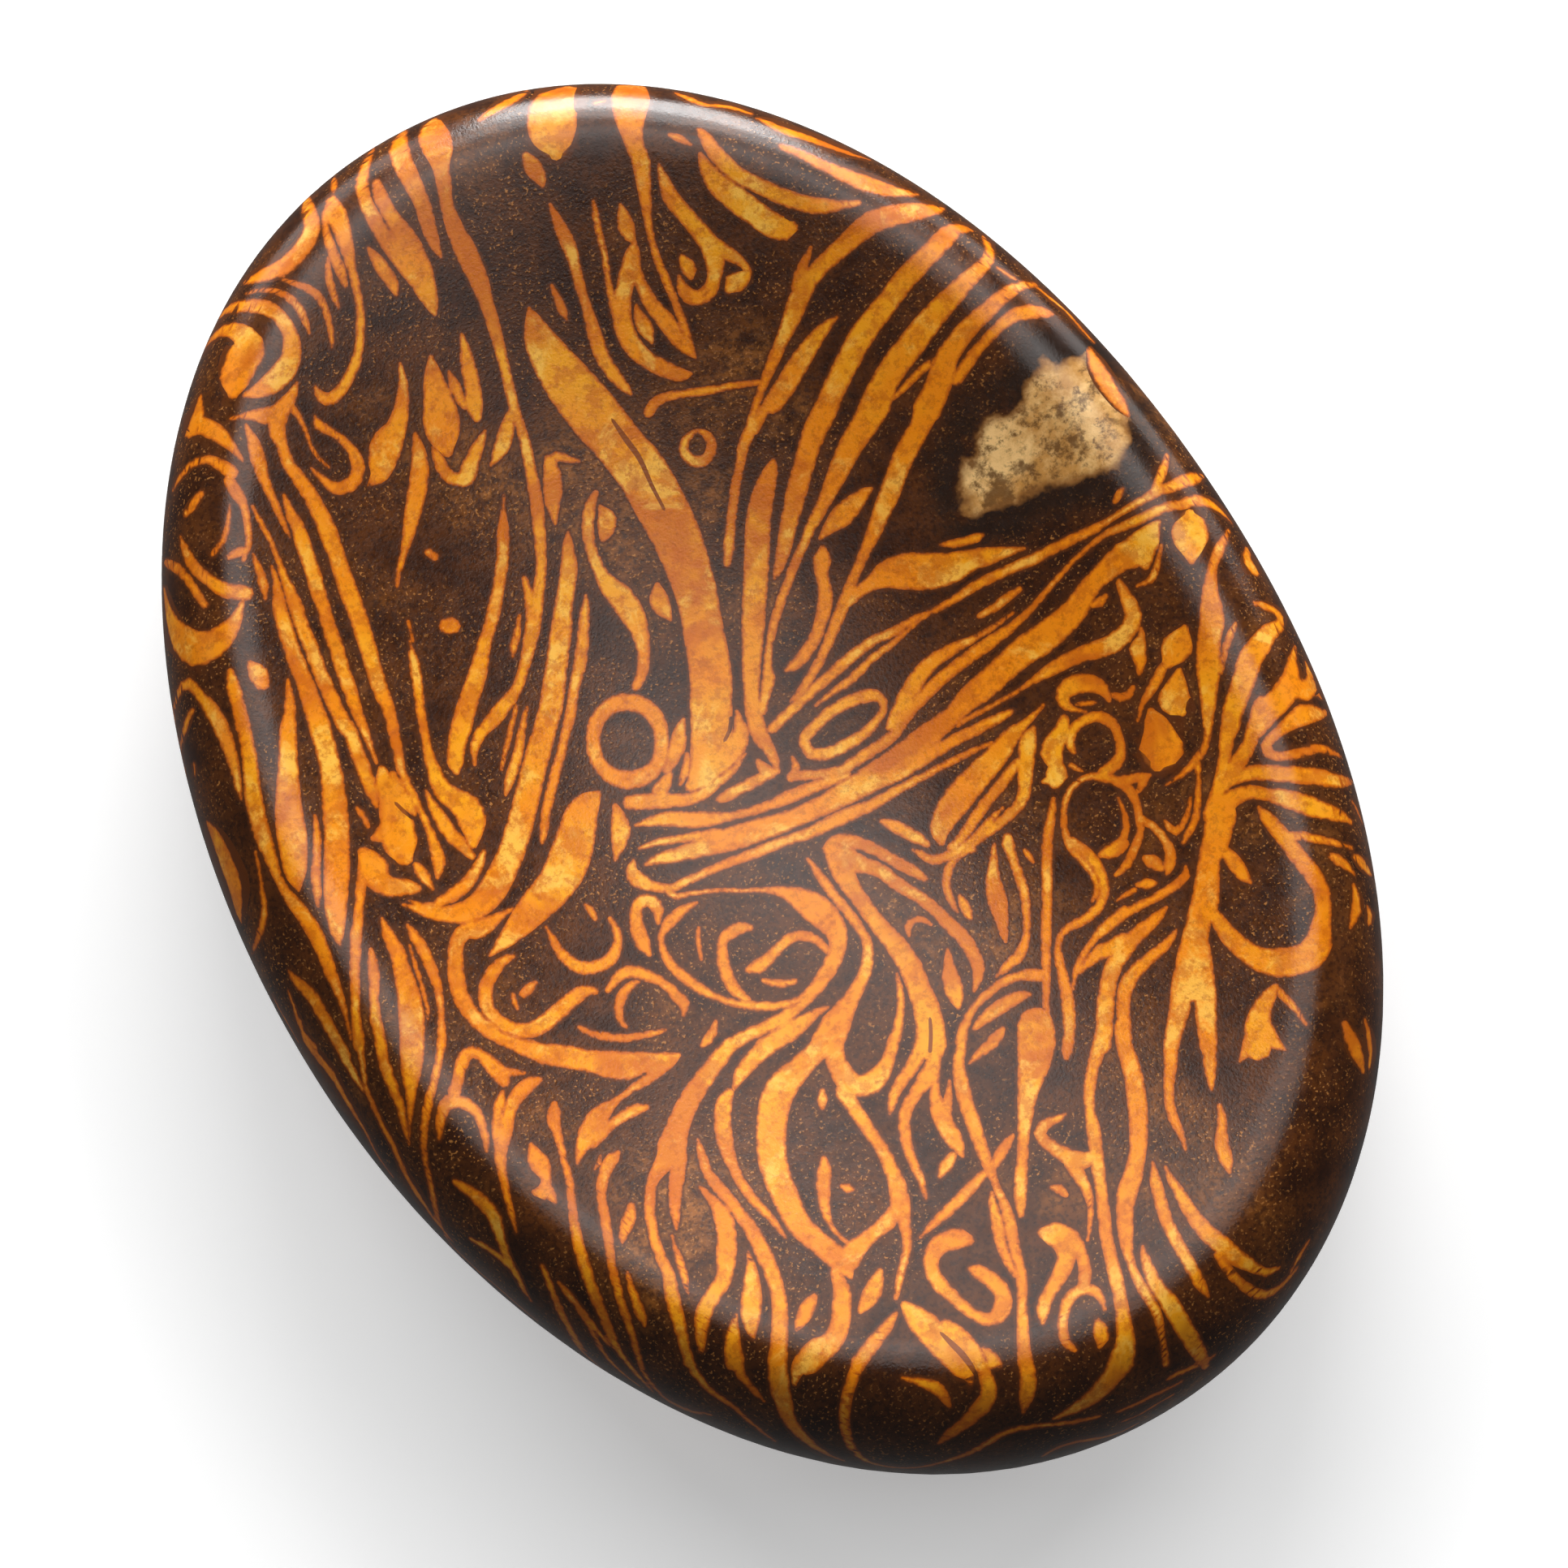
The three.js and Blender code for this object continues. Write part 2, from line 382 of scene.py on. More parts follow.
# %% Fan in the upper hollow
FAN = [
    [(652, 380, 3), (657, 395, 20), (665, 418, 38), (681, 445, 50), (703, 475, 60), (728, 506, 64),
     (768, 554, 60), (790, 581, 63), (819, 632, 62), (837, 670, 58), (854, 718, 52), (862, 750, 49),
     (867, 779, 49), (872, 806, 50), (876, 835, 51), (876, 862, 51), (877, 900, 50)],
    [(533, 149, 20), (534, 165, 38), (540, 185, 36), (543, 205, 20), (547, 225, 18), (550, 250, 15),
     (560, 280, 20), (574, 310, 26), (590, 345, 22), (600, 375, 16), (608, 400, 15), (621, 450, 12),
     (633, 500, 12), (641, 525, 11), (648, 550, 13), (653, 575, 13), (658, 600, 15), (662, 625, 15),
     (664, 650, 15), (666, 675, 13), (667, 700, 12), (664, 725, 14), (660, 750, 17), (656, 775, 18),
     (651, 800, 15), (645, 825, 12), (636, 850, 13), (621, 870, 18), (605, 890, 18)],
    [(646, 713, 6), (650, 725, 10), (654, 745, 14), (656, 765, 16)],
    [(630, 503, 4), (628, 515, 12), (623, 535, 19), (616, 555, 17), (605, 573, 3)],
    [(621, 610, 2), (620, 632, 6), (620, 655, 14), (620, 675, 14), (618, 700, 15), (614, 725, 14),
     (609, 750, 16), (603, 775, 15), (595, 800, 17), (590, 825, 21), (582, 850, 23), (574, 875, 24),
     (568, 900, 24)],
    [(676, 565, 10), (680, 580, 20), (681, 600, 23), (681, 620, 18), (684, 645, 3)],
    [(676, 574, 12), (686, 562, 12), (700, 566, 8), (714, 568, 3)],
    [(734, 607, 6), (727, 625, 14), (724, 650, 14), (729, 679, 14), (740, 706, 16), (751, 722, 24),
     (765, 736, 31), (779, 757, 29), (789, 780, 21), (793, 806, 15), (791, 830, 13), (783, 847, 9)],
    [(739, 624, 4), (743, 630, 12), (748, 640, 23), (746, 655, 18), (742, 666, 5)],
    [(700, 656, 3), (700, 675, 14), (701, 700, 20), (698, 725, 20), (694, 750, 22), (692, 775, 25),
     (688, 800, 26), (685, 825, 27), (682, 850, 28), (678, 875, 28), (671, 900, 28)],
    [(722, 734, 3), (721, 750, 10), (719, 775, 13), (717, 800, 15), (713, 825, 15), (707, 850, 12),
     (704, 875, 12), (698, 900, 12)],
    [(640, 758, 3), (637, 780, 8), (633, 797, 9), (632, 808, 3)],
    [(860, 531, 4), (848, 538, 9), (842, 552, 11), (848, 564, 13), (860, 569, 14), (872, 564, 12),
     (877, 550, 12), (872, 537, 10), (860, 531, 4)],
    [(941, 473, 10), (932, 497, 8), (928, 515, 12), (924, 530, 14), (916, 550, 13), (911, 575, 11),
     (906, 600, 11), (903, 625, 11), (900, 650, 11), (898, 675, 13), (896, 694, 8)],
    [(970, 472, 25), (956, 488, 20), (945, 500, 15), (937, 515, 12), (930, 530, 10)],
    [(953, 568, 6), (950, 580, 17), (943, 600, 24), (937, 625, 29), (934, 650, 30), (932, 700, 30),
     (929, 750, 29), (927, 800, 25), (926, 825, 22), (926, 850, 19), (928, 875, 20), (933, 900, 20)],
    [(1031, 472, 28), (1019, 500, 29), (1007, 525, 29), (997, 550, 27), (990, 575, 25), (983, 600, 25),
     (977, 625, 23), (971, 650, 20), (966, 675, 17), (960, 697, 13), (955, 712, 5)],
    [(1088, 475, 33), (1078, 500, 36), (1064, 525, 33), (1048, 550, 29), (1036, 575, 26),
     (1024, 600, 20), (1012, 625, 16), (999, 650, 13), (988, 675, 11), (977, 700, 11), (968, 725, 11),
     (959, 750, 11), (952, 775, 10), (947, 800, 9), (946, 822, 11), (947, 837, 16), (943, 855, 12),
     (939, 875, 12)],
    [(1014, 676, 8), (1013, 689, 22), (1012, 704, 16), (1015, 718, 15), (1017, 734, 18),
     (1015, 753, 17), (1009, 775, 15), (1000, 794, 15), (988, 811, 15), (975, 822, 11), (969, 826, 4)],
    [(1010, 664, 3), (1022, 650, 15), (1038, 635, 27), (1053, 620, 22), (1065, 608, 14), (1074, 602, 3)],
    [(1152, 484, 32), (1142, 505, 30), (1134, 525, 25), (1120, 550, 27), (1108, 575, 25),
     (1099, 600, 25), (1089, 625, 23), (1079, 650, 19), (1068, 675, 14), (1057, 700, 12),
     (1047, 725, 14), (1037, 750, 15), (1027, 775, 14), (1017, 800, 12), (1004, 825, 11), (988, 850, 9),
     (974, 865, 3)],
    [(1045, 742, 12), (1060, 728, 16), (1076, 717, 20), (1093, 708, 34), (1115, 704, 44),
     (1143, 704, 45), (1170, 700, 38), (1197, 690, 27), (1219, 685, 21), (1241, 680, 12),
     (1262, 676, 3)],
    [(1158, 671, 3), (1175, 670, 10), (1190, 667, 11), (1205, 662, 10), (1211, 659, 4)],
    [(810, 721, 6), (811, 733, 20), (814, 745, 23), (821, 756, 14), (826, 763, 4)],
]

# %% Hollow, right of the middle
MIDDLE_RIGHT = [
    [(1350, 651, 11), (1325, 663, 12), (1300, 675, 12), (1275, 688, 14), (1250, 699, 12),
     (1225, 710, 12), (1200, 723, 11), (1175, 739, 9), (1150, 753, 7), (1125, 764, 9), (1100, 779, 11),
     (1075, 790, 12), (1050, 809, 14), (1025, 830, 14), (1000, 852, 13), (975, 875, 13), (951, 898, 12)],
    [(1142, 758, 4), (1120, 775, 5), (1100, 793, 8), (1075, 811, 9), (1050, 836, 11), (1025, 854, 7),
     (1005, 869, 3)],
    [(1350, 667, 6), (1325, 689, 5), (1300, 716, 6), (1275, 745, 7), (1252, 768, 10), (1225, 788, 15),
     (1200, 805, 16), (1175, 824, 15), (1150, 845, 16), (1125, 872, 15), (1105, 897, 14)],
    [(1248, 755, 3), (1225, 772, 6), (1200, 787, 8), (1175, 799, 14), (1152, 813, 18), (1134, 832, 21),
     (1120, 853, 21), (1109, 872, 18), (1097, 895, 12)],
    [(1385, 682, 29), (1361, 704, 25), (1341, 726, 25), (1324, 752, 31), (1300, 775, 35),
     (1279, 791, 37), (1256, 806, 35), (1233, 827, 33), (1211, 847, 33), (1190, 864, 28),
     (1174, 881, 23), (1157, 897, 20)],
    [(1385, 782, 23), (1368, 795, 23), (1345, 802, 20), (1319, 812, 18), (1298, 823, 16),
     (1279, 835, 10), (1262, 846, 5), (1245, 857, 5), (1222, 870, 6), (1200, 881, 6), (1180, 893, 6)],
    [(1367, 864, 4), (1360, 850, 14), (1345, 843, 22), (1325, 843, 24), (1311, 853, 20),
     (1311, 866, 14), (1322, 874, 7), (1338, 877, 4)],
    [(1326, 868, 3), (1338, 867, 6), (1350, 866, 3)],
    [(1347, 745, 8), (1355, 742, 12), (1362, 735, 7)],
    [(1207, 759, 6), (1222, 751, 10), (1240, 737, 10), (1256, 726, 6)],
]

# %% Right rim
RIGHT_RIM = [
    [(1482, 586, 6), (1474, 589, 15), (1460, 592, 17), (1445, 599, 14), (1429, 604, 13),
     (1410, 615, 10), (1396, 623, 9), (1380, 632, 7), (1362, 644, 7), (1350, 651, 11)],
    [(1438, 561, 5), (1434, 575, 10), (1429, 590, 11), (1424, 602, 10)],
    [(1518, 645, 3), (1507, 632, 9), (1494, 622, 14), (1481, 617, 15), (1467, 618, 14), (1453, 622, 12),
     (1437, 625, 12), (1420, 632, 12), (1404, 640, 12), (1388, 647, 11), (1371, 654, 9), (1358, 661, 7),
     (1350, 667, 6)],
    [(1466, 633, 10), (1467, 642, 36), (1467, 655, 46), (1467, 668, 40), (1468, 680, 24),
     (1468, 691, 8)],
    [(1427, 643, 6), (1419, 655, 22), (1409, 670, 38), (1397, 681, 38), (1383, 687, 32),
     (1372, 696, 28), (1361, 705, 26)],
    [(1421, 660, 8), (1416, 678, 14), (1411, 695, 14)],
    [(1431, 672, 3), (1427, 690, 6), (1421, 710, 9), (1412, 718, 6), (1401, 722, 3)],
    [(1379, 717, 8), (1389, 738, 16), (1396, 757, 21), (1391, 775, 22), (1375, 790, 22),
     (1360, 799, 21), (1345, 803, 20)],
    [(1406, 774, 3), (1406, 787, 11), (1402, 800, 21), (1405, 815, 14), (1404, 830, 5)],
    [(1460, 774, 8), (1456, 784, 24), (1451, 796, 38), (1444, 808, 30), (1439, 817, 14)],
    [(1453, 826, 6), (1451, 836, 18), (1449, 850, 30), (1447, 862, 41), (1452, 873, 24), (1457, 878, 8)],
    [(1514, 654, 4), (1508, 666, 10), (1500, 682, 13), (1494, 699, 11), (1491, 726, 18),
     (1493, 753, 28), (1493, 770, 30), (1490, 785, 28), (1489, 800, 29), (1489, 825, 29),
     (1489, 850, 22), (1489, 875, 16), (1488, 900, 9)],
    [(1523, 768, 4), (1517, 780, 8), (1511, 795, 8), (1507, 812, 7), (1504, 828, 6)],
    [(1546, 743, 5), (1558, 747, 12), (1571, 752, 11), (1580, 762, 12), (1576, 771, 16),
     (1564, 779, 22), (1553, 794, 27), (1541, 811, 29), (1534, 833, 29), (1527, 854, 27),
     (1520, 873, 26), (1515, 900, 22)],
    [(1537, 676, 6), (1537, 688, 17), (1543, 700, 22), (1549, 705, 10)],
    [(1596, 797, 3), (1593, 812, 12), (1593, 828, 22), (1590, 843, 30), (1578, 860, 30),
     (1566, 873, 30), (1556, 886, 26), (1548, 900, 20)],
    [(1609, 817, 5), (1614, 830, 16), (1616, 845, 22), (1604, 852, 26)],
    [(1618, 845, 14), (1628, 860, 6)],
    [(1629, 878, 8), (1618, 876, 16), (1604, 877, 18), (1592, 884, 12), (1580, 893, 8), (1572, 900, 5)],
    [(1433, 822, 10), (1425, 838, 13), (1415, 855, 10), (1407, 870, 6), (1402, 888, 3)],
    [(1371, 856, 6), (1380, 860, 10), (1390, 857, 10), (1396, 847, 5)],
    [(1374, 618, 6), (1380, 607, 8), (1384, 602, 4)],
    [(1343, 431, 8), (1350, 448, 22), (1360, 466, 26), (1371, 484, 22), (1382, 500, 16), (1390, 511, 5)],
]

# %% Left side of the lower hollow
NEAR_LEFT = [
    [(236, 876, 5), (231, 888, 11), (226, 903, 10), (222, 925, 6), (225, 948, 7), (229, 966, 3)],
    [(215, 915, 4), (212, 893, 8), (215, 870, 9), (222, 850, 10), (232, 842, 14), (245, 855, 13),
     (260, 875, 19), (274, 900, 19), (283, 925, 16), (290, 950, 12), (294, 972, 8), (297, 984, 3)],
    [(284, 828, 8), (288, 848, 17), (294, 872, 15), (301, 900, 16), (306, 925, 18), (309, 950, 19),
     (311, 975, 21), (316, 1000, 21), (322, 1025, 21), (331, 1050, 17), (340, 1075, 11),
     (348, 1092, 10), (356, 1105, 14), (372, 1125, 17), (388, 1150, 18), (399, 1175, 16),
     (408, 1200, 14), (418, 1225, 9), (426, 1250, 6), (432, 1280, 3)],
    [(256, 1015, 8), (261, 1025, 20), (267, 1036, 28), (277, 1061, 37), (287, 1088, 39),
     (291, 1110, 30), (294, 1127, 16), (297, 1136, 4)],
    [(315, 1050, 3), (320, 1075, 4), (323, 1100, 6), (326, 1120, 9), (323, 1140, 11), (316, 1160, 8),
     (310, 1175, 3)],
    [(239, 942, 5), (240, 955, 4)],
    [(355, 838, 3), (357, 860, 11), (357, 880, 15), (355, 900, 20), (355, 925, 22), (355, 950, 25),
     (355, 975, 29), (356, 1000, 33), (359, 1025, 36), (362, 1050, 33), (364, 1075, 26),
     (366, 1088, 14), (368, 1097, 3)],
    [(388, 1005, 3), (391, 1030, 9), (390, 1055, 10), (389, 1080, 11), (391, 1100, 10), (392, 1117, 3)],
    [(387, 875, 24), (395, 898, 27), (402, 925, 26), (408, 950, 27), (411, 975, 29), (413, 1000, 31),
     (415, 1025, 31), (415, 1050, 31), (415, 1075, 31), (414, 1100, 29), (414, 1125, 25),
     (416, 1150, 15), (419, 1164, 3)],
    [(415, 875, 18), (425, 890, 16), (431, 900, 17), (440, 925, 18), (449, 950, 18), (458, 975, 15),
     (464, 993, 5)],
    [(440, 995, 4), (447, 1005, 8), (453, 1018, 5)],
    [(439, 875, 14), (449, 900, 11), (457, 922, 7), (464, 940, 3)],
    [(479, 875, 15), (485, 900, 14), (490, 925, 12), (495, 950, 11), (506, 975, 11), (519, 1000, 8),
     (530, 1025, 10), (538, 1050, 15), (541, 1065, 15), (539, 1081, 4)],
    [(471, 948, 10), (474, 965, 24), (483, 985, 34), (487, 1005, 38), (490, 1025, 44), (494, 1043, 40),
     (498, 1056, 22)],
    [(480, 1020, 20), (468, 1030, 18), (460, 1033, 6)],
    [(484, 955, 10), (494, 975, 16), (504, 992, 14), (511, 1003, 5)],
    [(448, 1050, 14), (455, 1062, 28), (462, 1075, 34), (470, 1088, 28), (485, 1093, 24),
     (500, 1093, 20), (514, 1095, 12)],
    [(456, 1054, 14), (470, 1066, 18)],
    [(449, 1055, 12), (446, 1080, 12), (444, 1100, 12), (442, 1125, 11), (439, 1150, 14),
     (438, 1175, 13), (437, 1200, 12), (438, 1225, 11), (438, 1250, 11), (441, 1275, 14),
     (443, 1290, 15)],
    [(513, 1066, 8), (520, 1076, 16), (526, 1085, 12), (533, 1095, 4)],
    [(522, 897, 10), (527, 925, 12), (535, 950, 17), (545, 972, 24), (560, 985, 28), (575, 995, 36),
     (581, 1010, 36), (583, 1025, 24), (582, 1040, 12)],
    [(525, 975, 3), (532, 990, 10), (541, 1006, 16), (552, 1023, 18), (567, 1040, 17), (582, 1055, 8)],
    [(574, 875, 24), (567, 900, 24), (562, 925, 21), (561, 940, 19), (562, 951, 8)],
    [(621, 870, 18), (610, 884, 17), (594, 901, 14), (586, 916, 12), (584, 930, 7), (585, 942, 3)],
    [(671, 900, 28), (664, 925, 30), (657, 950, 30), (651, 975, 31), (645, 1000, 31), (638, 1025, 32),
     (630, 1050, 32), (619, 1075, 33), (604, 1100, 34), (589, 1116, 30), (572, 1124, 26),
     (552, 1127, 22), (532, 1124, 18), (513, 1119, 10), (497, 1115, 3)],
    [(596, 1050, 6), (588, 1070, 13), (574, 1090, 16), (556, 1104, 16), (540, 1112, 10)],
    [(356, 1197, 3), (366, 1210, 12), (382, 1225, 16), (397, 1250, 17), (411, 1275, 16),
     (425, 1298, 16)],
    [(355, 1220, 2), (362, 1240, 5), (369, 1262, 9), (377, 1278, 10), (388, 1290, 10)],
    [(335, 1225, 3), (345, 1245, 6), (355, 1262, 6), (368, 1285, 4)],
    [(457, 1170, 4), (459, 1185, 12), (461, 1205, 13), (461, 1225, 11), (462, 1250, 13),
     (467, 1275, 14), (470, 1290, 14)],
    [(471, 1132, 3), (478, 1150, 14), (490, 1175, 19), (497, 1200, 22), (503, 1225, 28),
     (507, 1250, 31), (508, 1275, 30), (507, 1295, 28)],
    [(505, 1165, 3), (512, 1190, 5), (520, 1215, 5), (526, 1240, 5), (527, 1255, 2)],
    [(502, 1140, 3), (510, 1152, 12), (522, 1172, 14), (534, 1200, 13), (541, 1225, 9), (544, 1255, 8),
     (545, 1280, 9), (543, 1295, 10)],
    [(632, 1119, 3), (616, 1129, 10), (600, 1139, 20), (587, 1145, 24), (574, 1147, 20),
     (564, 1158, 18), (561, 1175, 18), (562, 1200, 20), (567, 1225, 20), (582, 1250, 20),
     (600, 1268, 19), (622, 1281, 16), (648, 1287, 14)],
    [(632, 1178, 5), (620, 1184, 12), (605, 1201, 16), (598, 1222, 17), (602, 1244, 17),
     (618, 1261, 17), (640, 1270, 18), (662, 1266, 20), (684, 1250, 20), (703, 1233, 19),
     (720, 1221, 16), (733, 1221, 9)],
]

# %% Lower hollow
CENTRE = [
    [(636, 870, 5), (630, 895, 6), (624, 920, 6), (618, 948, 3)],
    [(649, 872, 4), (643, 900, 9), (639, 925, 11), (632, 950, 13), (625, 970, 9), (623, 979, 3)],
    [(704, 875, 12), (698, 900, 12), (692, 925, 11), (685, 950, 12), (679, 975, 12), (673, 1000, 11),
     (670, 1025, 9), (668, 1038, 4)],
    [(773, 865, 22), (796, 872, 20), (811, 890, 19), (815, 913, 17), (812, 937, 18), (797, 955, 21),
     (773, 961, 23), (750, 953, 20), (735, 935, 18), (731, 913, 17), (735, 889, 18), (751, 871, 20),
     (773, 865, 22)],
    [(842, 887, 4), (838, 900, 14), (832, 920, 15), (826, 937, 10), (820, 950, 8)],
    [(876, 862, 51), (877, 900, 50), (876, 920, 50), (872, 940, 44), (862, 958, 30), (850, 970, 12)],
    [(908, 877, 4), (911, 890, 12), (913, 905, 20), (905, 920, 28), (890, 935, 30), (872, 950, 26)],
    [(918, 929, 3), (901, 951, 9), (880, 967, 13), (860, 981, 16), (837, 986, 16), (815, 986, 20),
     (794, 988, 20), (776, 989, 18)],
    [(826, 953, 6), (820, 964, 16), (812, 975, 18)],
    [(928, 875, 20), (933, 895, 20), (939, 910, 20), (947, 922, 14), (955, 938, 11), (958, 950, 6)],
    [(957, 950, 8), (944, 950, 16), (934, 938, 6)],
    [(952, 953, 10), (930, 963, 14), (912, 972, 14), (897, 980, 14), (886, 985, 8)],
    [(737, 978, 8), (728, 987, 26), (718, 1000, 38), (711, 1025, 46), (704, 1050, 50), (694, 1075, 49),
     (678, 1098, 45), (656, 1121, 39), (638, 1142, 29), (620, 1161, 17), (604, 1177, 3)],
    [(758, 993, 6), (761, 1003, 15), (765, 1020, 23), (763, 1037, 19), (760, 1050, 10), (758, 1060, 3)],
    [(783, 1017, 3), (802, 1012, 12), (826, 1009, 19), (851, 1010, 20), (876, 1009, 18),
     (900, 1006, 11), (925, 1000, 11), (949, 992, 12), (974, 981, 16), (1000, 971, 15), (1025, 962, 12),
     (1045, 955, 8)],
    [(788, 1045, 3), (812, 1038, 9), (837, 1034, 10), (862, 1030, 12), (885, 1028, 16)],
    [(795, 1065, 4), (812, 1058, 13), (835, 1053, 18), (860, 1046, 22), (880, 1039, 28),
     (900, 1034, 30), (925, 1026, 30), (949, 1018, 28), (974, 1010, 25), (1000, 999, 24),
     (1022, 988, 26), (1045, 975, 31), (1070, 962, 34), (1095, 945, 34), (1120, 926, 32),
     (1143, 907, 30), (1160, 893, 26), (1174, 881, 23)],
    [(781, 1061, 4), (778, 1073, 14), (785, 1083, 21), (800, 1091, 14), (815, 1094, 11),
     (830, 1094, 10), (845, 1086, 10), (870, 1075, 10), (900, 1062, 11), (925, 1053, 13),
     (949, 1043, 13), (974, 1034, 13), (1000, 1025, 15), (1025, 1013, 17), (1050, 1002, 17),
     (1075, 991, 14), (1100, 977, 12), (1125, 963, 10), (1150, 950, 9), (1175, 937, 8), (1200, 925, 7),
     (1222, 915, 3)],
    [(824, 1100, 8), (835, 1105, 8), (850, 1101, 6), (875, 1098, 5), (900, 1097, 5), (925, 1097, 5),
     (950, 1097, 8), (968, 1100, 16), (985, 1107, 28), (1003, 1118, 36), (1020, 1133, 34),
     (1031, 1150, 26), (1032, 1168, 20), (1025, 1187, 20), (1014, 1205, 18), (1002, 1221, 16),
     (988, 1232, 12)],
    [(858, 1112, 4), (841, 1122, 12), (824, 1137, 14), (815, 1154, 8), (817, 1171, 9), (829, 1191, 12),
     (846, 1206, 14), (865, 1220, 12), (889, 1231, 9), (911, 1237, 10), (938, 1240, 12), (966, 1238, 9),
     (990, 1230, 9)],
    [(811, 1138, 4), (811, 1122, 14), (803, 1110, 16), (792, 1110, 16), (784, 1122, 15),
     (785, 1142, 17), (792, 1162, 18), (800, 1176, 5)],
    [(673, 1142, 3), (680, 1155, 8), (688, 1170, 11), (700, 1183, 15), (715, 1192, 16), (732, 1192, 16),
     (747, 1186, 16), (757, 1175, 14), (761, 1160, 10), (759, 1145, 10), (752, 1132, 5)],
    [(722, 1115, 5), (728, 1122, 10), (734, 1132, 5)],
    [(749, 1220, 6), (763, 1203, 14), (777, 1197, 16), (794, 1201, 16), (810, 1207, 12),
     (824, 1216, 12), (835, 1229, 15), (843, 1237, 13), (842, 1250, 5)],
    [(786, 1209, 5), (775, 1216, 10), (765, 1230, 12), (762, 1245, 10), (765, 1258, 7), (772, 1266, 3)],
    [(714, 1266, 5), (728, 1273, 9), (745, 1277, 10), (765, 1279, 10), (785, 1277, 8), (805, 1273, 7),
     (820, 1269, 3)],
    [(645, 1225, 10), (652, 1218, 12), (660, 1211, 5)],
    [(632, 1225, 4), (634, 1235, 7), (638, 1243, 3)],
    [(882, 1258, 3), (879, 1270, 10), (872, 1281, 11), (866, 1288, 6)],
    [(924, 1143, 8), (912, 1143, 15), (899, 1150, 15), (890, 1160, 12), (890, 1175, 13),
     (892, 1190, 16), (898, 1207, 15), (907, 1221, 14), (920, 1232, 10)],
    [(922, 1195, 8), (932, 1192, 18), (943, 1185, 16), (955, 1173, 13), (967, 1161, 13),
     (981, 1153, 13), (997, 1154, 12), (1010, 1161, 10), (1019, 1172, 8)],
    [(941, 1208, 5), (952, 1211, 9), (965, 1212, 9), (980, 1209, 6)],
    [(861, 1143, 4), (860, 1155, 5), (862, 1168, 5), (864, 1182, 3)],
    [(1003, 896, 14), (1022, 878, 14), (1045, 865, 15), (1070, 857, 16), (1085, 860, 12),
     (1089, 872, 9), (1082, 886, 10), (1066, 903, 13), (1041, 919, 15), (1017, 929, 15), (999, 928, 14),
     (991, 914, 13), (996, 903, 14), (1003, 896, 14)],
    [(976, 933, 3), (981, 946, 10), (975, 958, 11)],
    [(974, 959, 8), (985, 956, 13), (1008, 954, 11), (1036, 949, 13), (1060, 934, 14), (1082, 920, 14),
     (1100, 906, 13), (1112, 893, 12)],
    [(1246, 877, 6), (1228, 886, 12), (1205, 898, 14), (1182, 909, 14), (1160, 921, 16),
     (1138, 935, 16), (1115, 950, 16), (1095, 962, 12)],
    [(1086, 1012, 5), (1100, 1017, 14), (1118, 1026, 15), (1132, 1034, 14), (1142, 1040, 8)],
]

